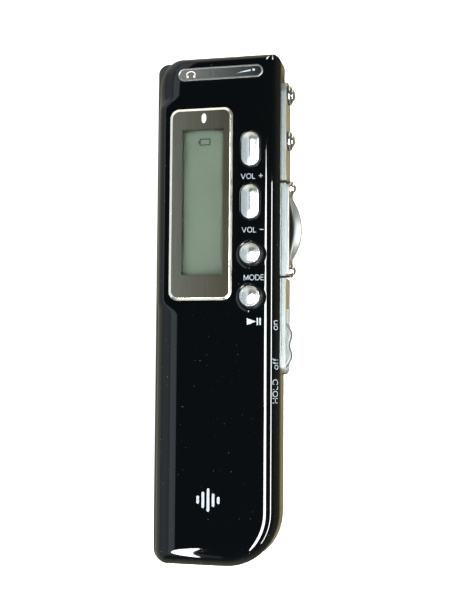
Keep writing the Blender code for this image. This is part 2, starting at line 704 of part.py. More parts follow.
def boards():
    top = BOARD_Z + BOARD_THICKNESS
    board = box("main_board", *MAIN_BOARD, BOARD_Z, top, BOARD_GREEN)
    for number, (x, y) in enumerate(CASE_SCREWS[2:]):
        clearance = (BOSS_RADIUS + 0.25, BOARD_Z - 1, top + 1)
        cut(board, rod(f"boss_clearance_{number}", *clearance, (x, y, 0), "Z", None, 16))
    for number, (x, y) in enumerate(BOARD_SCREWS):
        cut(board, rod(f"board_hole_{number}", 0.8, BOARD_Z - 1, top + 1, (x, y, 0), "Z", None, 12))
    box("side_board", *SIDE_BOARD, SIDE_BOARD_BOTTOM, BOARD_Z - 0.3, BOARD_GREEN)
    under = BOARD_Z - GAP
    box("processor_chip", *PROCESSOR, under - CHIP_HEIGHT, under, CHIP_BLACK)
    box("memory_chip", *MEMORY, under - CHIP_HEIGHT, under, CHIP_BLACK)
    box("crystal", *CRYSTAL, under - CRYSTAL_HEIGHT, under, SWITCH_METAL)
    x, y = LED_PLACE
    box("record_led", x - 0.4, x + 0.4, y - 0.8, y + 0.8, top + GAP, top + GAP + 0.8, WHITE_LENS)
    x0 = SIDE_SWITCH_X
    box("hold_switch", x0, x0 + 0.8, *HOLD_SWITCH, SIDE_Z - 1.5, SIDE_Z + 1.0, SWITCH_METAL)
    head, thread = BOARD_SCREW_RADII
    for number, (x, y) in enumerate(BOARD_SCREWS):
        profile = ((thread, 6.0), (thread, top + GAP), (head, top + GAP), (head, top + GAP + 0.6))
        turned(f"board_screw_{number + 1}", profile, (x, y, 0), "Z", SCREW_STEEL, 16)


def jack(name, x):
    """A 3.5 mm socket: a box behind the end wall with a round nose and a stepped bore."""
    end = TOP - WALL - 0.3
    body = box(name, x - 3.0, x + 3.0, JACK_START, end, JACK_BOTTOM, BOARD_Z - GAP, BLACK_PLASTIC)
    place = (x, 0, JACK_Z)
    join(body, rod(f"{name}_nose", JACK_NOSE, end - 1.2, TOP - 0.1, place, "Y"))
    cut(body, rod(f"{name}_bore", JACK_BORE, TOP - JACK_DEPTH, TOP + 1, place, "Y"))


def sockets():
    jack("headphone_jack", -JACK_X)
    jack("microphone_jack", JACK_X)
    rod("microphone_capsule", CAPSULE_RADIUS, 0.0, 1.6, CAPSULE_PLACE, "Y", SWITCH_METAL, 16)
    (y0, y1), (z0, z1) = USB_Y, USB_Z
    port = box("usb_port", REAR_LEFT + 0.4, -4.6, y0, y1, z0, z1, SWITCH_METAL)
    mouth = (y0 + USB_WALL, y1 - USB_WALL, z0 + USB_WALL, z1 - USB_WALL - 0.05)
    cut(port, box("usb_mouth", REAR_LEFT - 1, -6.0, *mouth))
    join(port, box("usb_tongue", -12.2, -5.8, y0 + 1.5, y1 - 1.5, 7.5, 8.3))


def speaker():
    x, y = SPEAKER_PLACE
    profile = (
        (0.3, 2.9),
        (2.0, 2.6),
        (3.0, 2.9),
        (6.0, 2.0),
        (7.3, 1.55),
        (7.6, 1.55),
        (7.6, 3.1),
        (4.5, 3.4),
        (4.5, 4.6),
        (0.3, 4.6),
    )
    turned("speaker", profile, (x, y, 0), "Z", CONE_PAPER)


def cell(name, x, start, nub_at_end):
    radius = CELL_DIAMETER / 2
    profile = [
        (radius - 0.5, 0.0),
        (radius, 0.4),
        (radius, CELL_LENGTH - 1.3),
        (radius - 0.5, CELL_LENGTH - 0.8),
        (NUB_RADIUS, CELL_LENGTH - 0.8),
        (NUB_RADIUS, CELL_LENGTH),
    ]
    if not nub_at_end:
        profile = [(r, CELL_LENGTH - along) for r, along in reversed(profile)]
    turned(name, profile, (x, start, CELL_Z), "Y", CELL_WRAP)


def contact_spring(name, x, y0, y1):
    """Conical spring wound about Y, wide at y0 where it stands on its plate."""
    steps = 30
    wide, narrow = SPRING_RADII
    curve = bpy.data.curves.new(name, "CURVE")
    curve.dimensions = "3D"
    curve.bevel_depth = SPRING_WIRE * MM
    curve.bevel_resolution = 1
    curve.use_fill_caps = True
    line = curve.splines.new("POLY")
    line.points.add(steps)
    for i in range(steps + 1):
        share = i / steps
        radius = wide + (narrow - wide) * share
        angle = math.tau * SPRING_TURNS * share
        y = y0 + (y1 - y0) * share
        point = (x + radius * math.cos(angle), y, CELL_Z + radius * math.sin(angle))
        line.points[i].co = (*(value * MM for value in point), 1.0)
    spring = bpy.data.objects.new(name, curve)
    bpy.context.scene.collection.objects.link(spring)
    curve.materials.append(SPRING_STEEL)


def power():
    left, right = CELL_X
    cell("left_cell", left, CELL_START[0], True)
    cell("right_cell", right, CELL_START[1], False)
    link = box("link_plate", *LINK_PLATE, *CONTACT_Z, SPRING_STEEL)
    join(link, rod("link_dimple", 1.6, -47.6, CELL_START[1] - GAP, (right, 0, CELL_Z), "Y", None, 16))
    box("positive_contact", left - 2.5, left + 2.5, -1.25, -0.75, *CONTACT_Z, SPRING_STEEL)
    box("negative_contact", right - 3.6, right + 3.6, -0.95, -0.6, 3.6, 9.2, SPRING_STEEL)
    contact_spring("lower_spring", left, -47.1, -46.15)
    contact_spring("upper_spring", right, -1.3, -1.6)


def case_screws():
    head, thread = CASE_SCREW_RADII
    for number, (x, y) in enumerate(CASE_SCREWS):
        profile = ((head, 0.35), (head, 1.15), (thread, 1.15), (thread, 7.0))
        screw = turned(f"case_screw_{number + 1}", profile, (x, y, 0), "Z", SCREW_STEEL, 16)
        for way, (wide, tall) in enumerate(((1.0, 0.15), (0.15, 1.0))):
            slot = box(f"screw_{number}_slot_{way}", x - wide, x + wide, y - tall, y + tall, 0.0, 0.7)
            cut(screw, slot)


clear_scene()
front_cover()
rear_case()
battery_door()
battery_tray()
side_trim()
display_bezel()
display_window()
led_lens()
label_plate()
for button_name, button_y, button_size in FRONT_BUTTONS:
    front_button(button_name, button_y, button_size)
    tact_switch(button_name.replace("button", "switch"), BUTTON_X, button_y)
for key_name, key_y in zip(("record_key", "stop_key"), KEY_Y):
    side_key(key_name, key_y)
    side_switch(key_name.replace("key", "switch"), key_y)
skip_rocker()
side_switch("forward_switch", ROCKER_Y + ROCKER_REACH)
side_switch("back_switch", ROCKER_Y - ROCKER_REACH)
hold_slider()
display_stack()
boards()
sockets()
speaker()
power()
case_screws()
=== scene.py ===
import math

import bmesh
import bpy
from mathutils import Matrix, Vector


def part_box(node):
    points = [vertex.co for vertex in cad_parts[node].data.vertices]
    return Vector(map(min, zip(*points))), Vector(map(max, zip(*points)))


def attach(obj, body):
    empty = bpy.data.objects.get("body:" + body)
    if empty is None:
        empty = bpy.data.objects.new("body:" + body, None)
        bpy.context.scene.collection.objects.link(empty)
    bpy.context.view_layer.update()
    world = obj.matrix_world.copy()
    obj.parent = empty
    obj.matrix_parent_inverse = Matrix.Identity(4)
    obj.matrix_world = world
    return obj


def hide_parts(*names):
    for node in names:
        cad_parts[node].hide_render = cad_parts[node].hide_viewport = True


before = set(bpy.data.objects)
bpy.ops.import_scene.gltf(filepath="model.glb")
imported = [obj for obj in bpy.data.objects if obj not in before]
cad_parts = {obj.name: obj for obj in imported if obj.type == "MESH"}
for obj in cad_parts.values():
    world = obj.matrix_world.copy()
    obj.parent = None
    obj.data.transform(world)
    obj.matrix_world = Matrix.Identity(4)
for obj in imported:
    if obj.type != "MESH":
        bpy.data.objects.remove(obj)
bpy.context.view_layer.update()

# Every length below is in millimetres in the CAD model's frame: X across the case with the keys
# at +X, Y along it with the sockets at +Y, Z up out of the face.
MM = 0.001


def span(node):
    """A CAD node's lowest and highest corners in millimetres."""
    low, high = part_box(node)
    return [value / MM for value in low], [value / MM for value in high]


def middle(node):
    low, high = span(node)
    return [(a + b) / 2 for a, b in zip(low, high)]


def footprint(node, grow=0.0):
    """A node's left, right, lower and upper edges seen from the face."""
    low, high = span(node)
    return low[0] - grow, high[0] + grow, low[1] - grow, high[1] + grow


(COVER_LEFT, BOTTOM, _), (RIGHT, TOP, FACE) = span("front_cover")
(CASE_LEFT, _, _), (_, _, CASE_RIM) = span("rear_case")
PARTING = 11.8
WALL = 1.2
GAP = 0.15
# Corner radii seen from the face: top right, top left, bottom left, bottom right
COVER_CORNERS = (1.4, 5.5, 2.8, 11.0)
REAR_CORNERS = (1.4, 2.0, 2.8, 11.0)
TOP_LEFT_FLAT = 4.8
SOCKET_HEIGHT = 7.2
# The side: the recess's upper end, the strip's and the raised block's faces, and the block's ends
RECESS_TOP = 49.0
TRIM_FACE = 14.0
BLOCK_FACE = 14.6
BLOCK_LOW, BLOCK_HIGH = 6.7, 25.6
SLIDER_BASE = 13.55
# Where the moving side pieces start inside, clear of the liner when they're pushed in
SLIDER_BACK = 12.7
KEY_BACK = 12.95
RIDGE_BACK = 13.0


# ---------------------------------------------------------------- meshes


def add_object(name, data):
    made = bpy.data.objects.new(name, data)
    bpy.context.scene.collection.objects.link(made)
    return made


def applied_mesh(thing):
    """The thing's mesh with its modifiers, or a curve turned into a mesh."""
    bpy.context.view_layer.update()
    return bpy.data.meshes.new_from_object(thing.evaluated_get(bpy.context.evaluated_depsgraph_get()))


def quarter_turns(steps, first=0):
    """Angles up to a quarter turn in equal steps."""
    return [math.pi / 2 * i / steps for i in range(first, steps + 1)]


def strips(bm, pairs):
    """Bands of quads between pairs of closed rows of vertices."""
    for lower, upper in pairs:
        for i in range(len(lower)):
            j = (i + 1) % len(lower)
            bm.faces.new((lower[i], lower[j], upper[j], upper[i]))


def rows_of(bm, rings):
    return [[bm.verts.new(point) for point in ring] for ring in rings]


def finish(name, bm, surface=None, sharp=30.0, weighted=True):
    """Turns a bmesh in millimetres into a smooth-shaded object in metres."""
    bmesh.ops.recalc_face_normals(bm, faces=bm.faces)
    bmesh.ops.scale(bm, vec=(MM, MM, MM), verts=bm.verts)
    mesh = bpy.data.meshes.new(name)
    bm.to_mesh(mesh)
    bm.free()
    made = add_object(name, mesh)
    if surface:
        mesh.materials.append(surface)
    shade(made, sharp, weighted)
    return made


def shade(piece, sharp=30.0, weighted=True):
    piece.data.shade_smooth()
    piece.data.set_sharp_from_angle(angle=math.radians(sharp))
    if weighted and not piece.modifiers:
        normals = piece.modifiers.new("weighted_normals", "WEIGHTED_NORMAL")
        normals.keep_sharp = True


def loft(name, rings, surface=None, sharp=30.0, weighted=True):
    """Closed solid through rings with the same number of points, capped at both ends."""
    bm = bmesh.new()
    rows = rows_of(bm, rings)
    strips(bm, zip(rows, rows[1:]))
    bm.faces.new(list(reversed(rows[0])))
    bm.faces.new(rows[-1])
    return finish(name, bm, surface, sharp, weighted)


def hoop(name, rings, surface=None, sharp=30.0):
    """Ring-shaped solid: the last ring joins the first, so it has a hole and no caps."""
    bm = bmesh.new()
    rows = rows_of(bm, rings)
    strips(bm, zip(rows, rows[1:] + rows[:1]))
    return finish(name, bm, surface, sharp)


def carve(target, tools, operation="DIFFERENCE", sharp=30.0):
    """Cuts or joins with EXACT Booleans, applies them and removes the tools."""
    target.modifiers.clear()
    for tool in tools:
        tool.modifiers.clear()
        modifier = target.modifiers.new(tool.name, "BOOLEAN")
        modifier.operation = operation
        modifier.solver = "EXACT"
        modifier.object = tool
    mesh = applied_mesh(target)
    target.modifiers.clear()
    old = target.data
    target.data = mesh
    bpy.data.meshes.remove(old)
    for tool in tools:
        bpy.data.objects.remove(tool, do_unlink=True)
    shade(target, sharp)
    return target


def plan(x0, x1, y0, y1, radii, steps=10):
    """Rectangle with an elliptical arc at each corner, counterclockwise from the top right one."""
    corners = ((x1, y1, -1, -1), (x0, y1, 1, -1), (x0, y0, 1, 1), (x1, y0, -1, 1))
    points = []
    for quarter, ((cx, cy, sx, sy), (rx, ry)) in enumerate(zip(corners, radii)):
        for i in range(steps + 1):
            turn = math.pi / 2 * (quarter + i / steps)
            points.append((cx + sx * rx + rx * math.cos(turn), cy + sy * ry + ry * math.sin(turn)))
    return points


def pad(x0, x1, y0, y1, radius, steps=10):
    return plan(x0, x1, y0, y1, ((radius, radius),) * 4, steps)


def stadium(x, y, width, length, steps=14):
    half, reach = width / 2, length / 2
    return pad(x - half, x + half, y - reach, y + reach, half - 0.004, steps)


def at_z(points, z):
    return [(x, y, z) for x, y in points]


def at_x(points, x):
    return [(x, y, z) for y, z in points]


def slab(name, points, z0, z1, surface=None):
    return loft(name, (at_z(points, z0), at_z(points, z1)), surface)


def side_slab(name, points, x0, x1, surface=None):
    return loft(name, (at_x(points, x0), at_x(points, x1)), surface)


def box(name, x0, x1, y0, y1, z0, z1, surface=None):
    return slab(name, ((x1, y1), (x0, y1), (x0, y0), (x1, y0)), z0, z1, surface)


TURNS = {
    "X": Matrix.Rotation(math.radians(90), 3, "Y"),
    "Y": Matrix.Rotation(math.radians(-90), 3, "X"),
    "Z": Matrix.Identity(3),
}


def circle(radius, along, place, axis, segments):
    ring = []
    for i in range(segments):
        angle = math.tau * i / segments
        point = Vector((radius * math.cos(angle), radius * math.sin(angle), along))
        ring.append(tuple(TURNS[axis] @ point + Vector(place)))
    return ring


def turned(name, profile, place, axis, surface=None, segments=64, sharp=30.0):
    """Solid of revolution from (radius, distance along the axis) points."""
    rings = [circle(radius, along, place, axis, segments) for radius, along in profile]
    return loft(name, rings, surface, sharp)


def turned_hoop(name, profile, place, axis, surface=None, segments=64, sharp=30.0):
    rings = [circle(radius, along, place, axis, segments) for radius, along in profile]
    return hoop(name, rings, surface, sharp)


def rod(name, radius, start, end, place, axis, surface=None, segments=48):
    return turned(name, ((radius, start), (radius, end)), place, axis, surface, segments)


def soften(piece, width, segments=3, angle=30.0):
    """Rounds the sharp edges with an applied bevel of a width in millimetres."""
    piece.modifiers.clear()
    bevel = piece.modifiers.new("rounded_edges", "BEVEL")
    bevel.width = width * MM
    bevel.segments = segments
    bevel.limit_method = "ANGLE"
    bevel.angle_limit = math.radians(angle)
    bevel.use_clamp_overlap = True
    bevel.harden_normals = False
    mesh = applied_mesh(piece)
    piece.modifiers.clear()
    piece.data = mesh
    shade(piece, 40.0)
    return piece


def place_on(piece, body, slot, *nodes):
    """Rides the piece on a body and hides the CAD nodes that it stands for; its slot is not used."""
    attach(piece, body)
    if nodes:
        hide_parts(*nodes)
    return piece


# ---------------------------------------------------------------- materials


def new_material(name):
    made = bpy.data.materials.new(name)
    made.use_nodes = True
    tree = made.node_tree
    return made, tree, tree.nodes["Principled BSDF"]


def noise(tree, scale, detail=4.0, stretch=(1.0, 1.0, 1.0)):
    """Noise in object space; scale is in cells per millimetre."""
    place = tree.nodes.new("ShaderNodeTexCoord")
    mapping = tree.nodes.new("ShaderNodeMapping")
    mapping.inputs["Scale"].default_value = stretch
    texture = tree.nodes.new("ShaderNodeTexNoise")
    texture.inputs["Scale"].default_value = scale / MM
    texture.inputs["Detail"].default_value = detail
    tree.links.new(place.outputs["Object"], mapping.inputs["Vector"])
    tree.links.new(mapping.outputs["Vector"], texture.inputs["Vector"])
    return texture.outputs["Fac"]


def position(tree, space="Object"):
    """The X, Y and Z sockets of a coordinate."""
    place = tree.nodes.new("ShaderNodeTexCoord")
    split = tree.nodes.new("ShaderNodeSeparateXYZ")
    tree.links.new(place.outputs[space], split.inputs[0])
    return split.outputs


def ramp(tree, factor, stops):
    """Colour ramp from (position, colour) stops; a number counts as a grey."""
    node = tree.nodes.new("ShaderNodeValToRGB")
    for number, (position, colour) in enumerate(stops):
        if isinstance(colour, (int, float)):
            colour = (colour, colour, colour)
        elements = node.color_ramp.elements
        element = elements[number] if number < 2 else elements.new(position)
        element.position = position
        element.color = (*colour, 1.0)
    tree.links.new(factor, node.inputs["Fac"])
    return node.outputs["Color"]


def maths(tree, operation, *values):
    node = tree.nodes.new("ShaderNodeMath")
    node.operation = operation
    for socket, value in zip(node.inputs, values):
        if isinstance(value, (int, float)):
            socket.default_value = value
        else:
            tree.links.new(value, socket)
    return node.outputs[0]


def blend(tree, kind, factor, first, second):
    node = tree.nodes.new("ShaderNodeMix")
    node.data_type = "RGBA"
    node.blend_type = kind
    for name, value in (("Factor", factor), ("A", first), ("B", second)):
        socket = node.inputs[name]
        if isinstance(value, (int, float)):
            socket.default_value = value
        elif isinstance(value, tuple):
            socket.default_value = (*value, 1.0)
        else:
            tree.links.new(value, socket)
    return node.outputs["Result"]


def bump(tree, shader, factor, strength, distance):
    """Bump with its distance in millimetres, added after any bump that is already there."""
    node = tree.nodes.new("ShaderNodeBump")
    node.inputs["Strength"].default_value = strength
    node.inputs["Distance"].default_value = distance * MM
    tree.links.new(factor, node.inputs["Height"])
    earlier = shader.inputs["Normal"].links
    if earlier:
        tree.links.new(earlier[0].from_socket, node.inputs["Normal"])
    tree.links.new(node.outputs["Normal"], shader.inputs["Normal"])


def shades(colour, spread):
    return [tuple(max(channel * (1 + side * spread), 0.0) for channel in colour) for side in (-1, 1)]


def surface(name, colour, roughness, metallic=0.0, grain=1.0, spread=0.08, relief=0.0, relief_scale=4.0,
            stretch=(1.0, 1.0, 1.0), rough_spread=0.15, ior=1.5):
    """General procedural finish: colour and roughness drift with one noise, relief comes from a finer one."""
    made, tree, shader = new_material(name)
    shader.inputs["Metallic"].default_value = metallic
    shader.inputs["IOR"].default_value = ior
    drift = noise(tree, grain, 5.0, stretch)
    dark, light = shades(colour, spread)
    tree.links.new(ramp(tree, drift, ((0.3, dark), (0.7, light))), shader.inputs["Base Color"])
    rough = ramp(tree, drift, ((0.3, roughness * (1 - rough_spread)), (0.7, roughness * (1 + rough_spread))))
    tree.links.new(rough, shader.inputs["Roughness"])
    if relief:
        bump(tree, shader, noise(tree, relief_scale, 3.0, stretch), 1.0, relief)
    return made


def black_gloss():
    """Piano-black lacquer with faint ripple, hairline scratches and specks of dust."""
    made, tree, shader = new_material("black_gloss")
    specks = ramp(tree, noise(tree, 2.2, 2.0), ((0.745, 0.0), (0.76, 1.0)))
    lacquer = blend(tree, "MIX", specks, (0.0010, 0.0014, 0.0016), (0.05, 0.055, 0.055))
    tree.links.new(lacquer, shader.inputs["Base Color"])
    scratches = ramp(tree, noise(tree, 1.4, 6.0, (0.15, 3.0, 1.0)), ((0.60, 0.022), (0.74, 0.07)))
    tree.links.new(scratches, shader.inputs["Roughness"])
    bump(tree, shader, noise(tree, 0.30, 2.0), 0.3, 0.004)
    return made


def metal_with_painted_reflection(name, node, stops, roughness, stretch):
    """Brushed metal whose tone runs across a node's width from left to right: a painted reflection that
    darkens to the right.
    """
    made, tree, shader = new_material(name)
    shader.inputs["Metallic"].default_value = 0.85
    low, high = span(node)
    across = maths(tree, "SUBTRACT", position(tree)["X"], low[0] * MM)
    across = maths(tree, "DIVIDE", across, (high[0] - low[0]) * MM)
    grain = ramp(tree, noise(tree, 7.0, 4.0, stretch), ((0.3, 0.90), (0.7, 1.08)))
    colour = blend(tree, "MULTIPLY", 1.0, ramp(tree, across, stops), grain)
    tree.links.new(colour, shader.inputs["Base Color"])
    rough = ramp(tree, noise(tree, 5.0, 3.0, stretch), ((0.3, roughness * 0.9), (0.7, roughness * 1.1)))
    tree.links.new(rough, shader.inputs["Roughness"])
    return made


# The crescent's painted shade runs out from a line that falls back by the square of the distance from its
# middle over CRESCENT_BOW.
CRESCENT_BOW = 22.6
CRESCENT_DEPTH = 1.7


def moon_metal_painted_shade():
    """Satin metal of the rocker's crescent, with painted shade where it meets the block."""
    made, tree, shader = new_material("moon_metal_painted_shade")
    shader.inputs["Metallic"].default_value = 0.8
    where = position(tree)
    _, centre, _ = middle("skip_rocker")
    _, high = span("skip_rocker")
    away = maths(tree, "SUBTRACT", where["Y"], centre * MM)
    bow = maths(tree, "DIVIDE", maths(tree, "MULTIPLY", away, away), CRESCENT_BOW * MM)
    edge = maths(tree, "ADD", where["X"], bow)
    start = (high[0] - CRESCENT_DEPTH) * MM
    depth = maths(tree, "DIVIDE", maths(tree, "SUBTRACT", edge, start), CRESCENT_DEPTH * MM)
    # Painted shade: near black at the block, lighter outwards.
    tone = ramp(tree, depth, (
        (0.0, (0.008, 0.009, 0.008)), (0.25, (0.05, 0.055, 0.05)),
        (0.5, (0.20, 0.215, 0.21)), (0.8, (0.26, 0.28, 0.275)),
    ))
    grain = ramp(tree, noise(tree, 9.0, 3.0), ((0.3, 0.85), (0.7, 1.12)))
    tree.links.new(blend(tree, "MULTIPLY", 1.0, tone, grain), shader.inputs["Base Color"])
    rough = ramp(tree, noise(tree, 6.0, 3.0), ((0.3, 0.30), (0.7, 0.40)))
    tree.links.new(rough, shader.inputs["Roughness"])
    return made


BLACK_GLOSS = black_gloss()
MOON_PAINTED_SHADE = moon_metal_painted_shade()
SMOKED_GOLD = surface("smoked_gold", (0.088, 0.075, 0.028), 0.50, 0.0, 0.5, 0.12, 0.004, 9.0, ior=1.18)
BLACK_PLASTIC = surface("black_plastic", (0.014, 0.014, 0.015), 0.45, 0.0, 1.5, 0.15, 0.01, 8.0)
# The bezel's plate darkens from left to right: painted reflection.
TAUPE_METAL = metal_with_painted_reflection("taupe_metal", "display_bezel", (
    (0.0, (0.130, 0.134, 0.112)), (0.45, (0.100, 0.097, 0.074)), (1.0, (0.062, 0.056, 0.038)),
), 0.36, (1.0, 0.02, 1.0))
BRIGHT_EDGE = surface("bright_edge", (0.93, 0.92, 0.85), 0.24, 0.8, 2.0, 0.03, 0.002, 10.0, (0.2, 0.2, 1.0))
# A darker copy of the bright edge for the bezel's right and lower sides: painted shade.
PAINTED_SHADE_EDGE = surface("painted_shade_edge", (0.28, 0.27, 0.225), 0.30, 0.8, 2.0, 0.05, 0.002, 10.0, (0.2, 0.2, 1.0))
CHROME = surface("chrome", (0.86, 0.88, 0.87), 0.17, 1.0, 0.8, 0.03, 0.002, 1.2)
SATIN_SILVER = surface("satin_silver", (0.44, 0.49, 0.50), 0.36, 0.9, 12.0, 0.35, 0.03, 9.0)
# The label plate's face darkens from left to right: painted reflection.
DARK_CHROME = metal_with_painted_reflection("dark_chrome", "label_plate", (
    (0.0, (0.19, 0.195, 0.18)), (0.5, (0.09, 0.096, 0.093)), (1.0, (0.014, 0.018, 0.021)),
), 0.40, (0.1, 1.0, 1.0))
# Olive for the outward side faces of the satin trim and the rocker's ridge: painted reflection of the tan
# surroundings.
OLIVE_PAINTED_REFLECTION = surface("olive_painted_reflection", (0.155, 0.132, 0.072), 0.42, 0.2, 3.0, 0.14, 0.006, 9.0, ior=1.2)
SLIDER_SATIN = surface("slider_satin", (0.30, 0.33, 0.33), 0.36, 0.9, 12.0, 0.35, 0.03, 9.0)
BUTTON_CHROME = surface("button_chrome", (0.80, 0.82, 0.81), 0.28, 1.0, 6.0, 0.10, 0.004, 5.0)
RIM_METAL = surface("rim_metal", (0.34, 0.35, 0.33), 0.38, 1.0, 2.0, 0.06)
PRINT_INK = surface("print_ink", (0.27, 0.31, 0.345), 0.45, 0.0, 6.0, 0.08, 0.002, 10.0)
DARK_INK = surface("dark_ink", (0.03, 0.03, 0.035), 0.35, 0.0, 6.0, 0.08, 0.002, 10.0)
PINK_INK = surface("pink_ink", (0.62, 0.50, 0.46), 0.40, 0.0, 6.0, 0.08, 0.002, 10.0)
MARK_INK = surface("mark_ink", (0.25, 0.275, 0.30), 0.40, 0.0, 6.0, 0.06, 0.002, 10.0)
LCD_GREEN = surface("lcd_green", (0.090, 0.112, 0.083), 0.32, 0.0, 0.10, 0.08, 0.001, 12.0)
LCD_MARK = surface("lcd_mark", (0.004, 0.008, 0.007), 0.60, 0.0, 6.0, 0.10, 0.001, 10.0)
WHITE_LENS = surface("white_lens", (0.62, 0.68, 0.74), 0.18, 0.0, 1.5, 0.04, 0.002, 4.0)
BOARD_GREEN = surface("board_green", (0.02, 0.13, 0.05), 0.40, 0.0, 0.8, 0.20, 0.01, 3.0)
CHIP_BLACK = surface("chip_black", (0.02, 0.02, 0.022), 0.50, 0.0, 3.0, 0.15, 0.008, 8.0)
SWITCH_METAL = surface("switch_metal", (0.62, 0.63, 0.64), 0.28, 1.0, 2.0, 0.08, 0.004, 6.0)
SPRING_STEEL = surface("spring_steel", (0.60, 0.58, 0.53), 0.25, 1.0, 2.0, 0.08, 0.003, 8.0)
CELL_WRAP = surface("cell_wrap", (0.03, 0.08, 0.24), 0.30, 0.1, 0.6, 0.10, 0.004, 4.0)
SCREW_STEEL = surface("screw_steel", (0.16, 0.16, 0.17), 0.32, 1.0, 3.0, 0.12, 0.004, 7.0)
CONE_PAPER = surface("cone_paper", (0.03, 0.03, 0.03), 0.75, 0.0, 4.0, 0.20, 0.03, 6.0)
GOLD_CONTACT = surface("gold_contact", (0.80, 0.60, 0.26), 0.22, 1.0, 2.0, 0.06, 0.002, 6.0)


def clear_pane():
    made, tree, shader = new_material("clear_pane")
    shader.inputs["Transmission Weight"].default_value = 1.0
    shader.inputs["IOR"].default_value = 1.05
    shader.inputs["Base Color"].default_value = (0.93, 0.97, 0.94, 1.0)
    rough = ramp(tree, noise(tree, 0.6, 3.0), ((0.3, 0.02), (0.7, 0.05)))
    tree.links.new(rough, shader.inputs["Roughness"])
    return made


CLEAR_PANE = clear_pane()


# ---------------------------------------------------------------- case shells

# Width and height of each rounded edge: left, right, bottom, top
COVER_EDGES = ((5.3, 3.8), (3.8, 3.0), (3.8, 3.0), (1.4, 1.4))
REAR_EDGES = ((5.0, 5.0), (4.0, 11.0), (2.5, 2.5), (2.5, 2.5))
BEZEL_LOW, BEZEL_HIGH = span("display_bezel")
NARROW_SHOULDER = 2.3
BLEND_LENGTH = 3.0
SMALLEST_COVER_CORNER = 0.35
SMALLEST_REAR_CORNER = 1.6
CORNER_STEPS = 14
INNER_STEPS = 6
STRAIGHT_SHARES = (0.01, 0.03, 0.1, 0.5, 0.9, 0.97, 0.99)
EDGE_POINTS = 120


def smooth_step(value):
    value = min(max(value, 0.0), 1.0)
    return value * value * (3 - 2 * value)


def left_shoulder(y):
    """Width of the cover's left shoulder, which narrows beside the display."""
    wide = COVER_EDGES[0][0]
    below = smooth_step((y - (BEZEL_LOW[1] - 2.9)) / BLEND_LENGTH)
    above = smooth_step(((BEZEL_HIGH[1] + 3.2) - y) / BLEND_LENGTH)
    return wide - (wide - NARROW_SHOULDER) * below * above


def case_ring(turn, left, edges, level, sign, thin=0.0, narrow=False):
    """One ring of a case shell. turn runs from 0 at the straight wall to a quarter turn at the flat.

    level is the flat's height, and sign is 1 when the flat is above the wall and -1 below it.
    """
    sides = []
    for width, height in edges:
        sides.append((thin + width * (1 - math.cos(turn)), level - sign * height * (1 - math.sin(turn))))
    (in_left, z_left), (in_right, z_right), (in_bottom, z_bottom), (in_top, z_top) = sides
    right, bottom, top = RIGHT, BOTTOM, TOP
    corners = (
        (right, top, -1, -1, in_right, in_top, z_right, z_top),
        (left, top, 1, -1, in_left, in_top, z_top, z_left),
        (left, bottom, 1, 1, in_left, in_bottom, z_left, z_bottom),
        (right, bottom, -1, 1, in_right, in_bottom, z_bottom, z_right),
    )
    arcs = []
    for quarter, (cx, cy, sx, sy, dx, dy, z_start, z_end) in enumerate(corners):
        arc_points = []
        corner = COVER_CORNERS[quarter] if sign > 0 else REAR_CORNERS[quarter]
        smallest = SMALLEST_COVER_CORNER if sign > 0 else SMALLEST_REAR_CORNER
        rx = max(corner - dx, smallest)
        ry = max(corner - dy, smallest)
        if quarter == 1 and sign > 0 and not thin:
            share = 1 - math.cos(turn)
            rx = ry = corner + (TOP_LEFT_FLAT - corner) * math.sqrt(share)
        for i in range(CORNER_STEPS + 1):
            share = i / CORNER_STEPS
            angle = math.pi / 2 * (quarter + share)
            x = cx + sx * (dx + rx) + rx * math.cos(angle)
            y = cy + sy * (dy + ry) + ry * math.sin(angle)
            arc_points.append((x, y, z_start + (z_end - z_start) * smooth_step(share)))
        arcs.append(arc_points)
    points = []
    for quarter, arc_points in enumerate(arcs):
        points += arc_points
        if quarter == 1:
            low = bottom + COVER_CORNERS[2] + in_bottom + 0.2
            high = top - max(COVER_CORNERS[1], TOP_LEFT_FLAT) - in_top - 0.2
            for i in range(EDGE_POINTS):
                y = high + (low - high) * i / (EDGE_POINTS - 1)
                width = left_shoulder(y) if narrow else edges[0][0]
                points.append((left + thin + width * (1 - math.cos(turn)), y, z_left))
        else:
            start, end = Vector(arc_points[-1]), Vector(arcs[(quarter + 1) % 4][0])
            points += [tuple(start.lerp(end, share)) for share in STRAIGHT_SHARES]
    return points


def shell(name, outer, inner, material):
    """Closed shell: both skins run from the open rim to the closed face."""
    bm = bmesh.new()
    sides = [rows_of(bm, rings) for rings in (outer, inner)]
    pairs = [(sides[0][0], sides[1][0])]
    for rows in sides:
        pairs += list(zip(rows, rows[1:]))
        bm.faces.new(rows[-1])
    strips(bm, pairs)
    return finish(name, bm, material)


def skins(left, edges, rim, level, sign, narrow, steps=22):
    """Outer and inner rings of a case shell from its rim to its flat face."""
    outer = [[(x, y, rim) for x, y, _ in case_ring(0.0, left, edges, level, sign)]]
    outer += [case_ring(turn, left, edges, level, sign, 0.0, narrow) for turn in quarter_turns(steps)]
    inside = (left, [(width - 0.7, height - 0.4) for width, height in edges], level - sign * WALL, sign, WALL)
    inner = [[(x, y, rim) for x, y, _ in case_ring(0.0, *inside)]]
    inner += [case_ring(turn, *inside) for turn in quarter_turns(INNER_STEPS)]
    return outer, inner


BUTTONS = (
    ("volume_up_button", "volume_up", False),
    ("volume_down_button", "volume_down", False),
    ("mode_button", "mode", True),
    ("play_button", "play", True),
)
BUTTON_FLANGE = 0.45


def button_size(node):
    """Centre, width and length of the cap above its flange."""
    low, high = span(node)
    x, y, _ = middle(node)
    return x, y, high[0] - low[0] - 2 * BUTTON_FLANGE, high[1] - low[1] - 2 * BUTTON_FLANGE


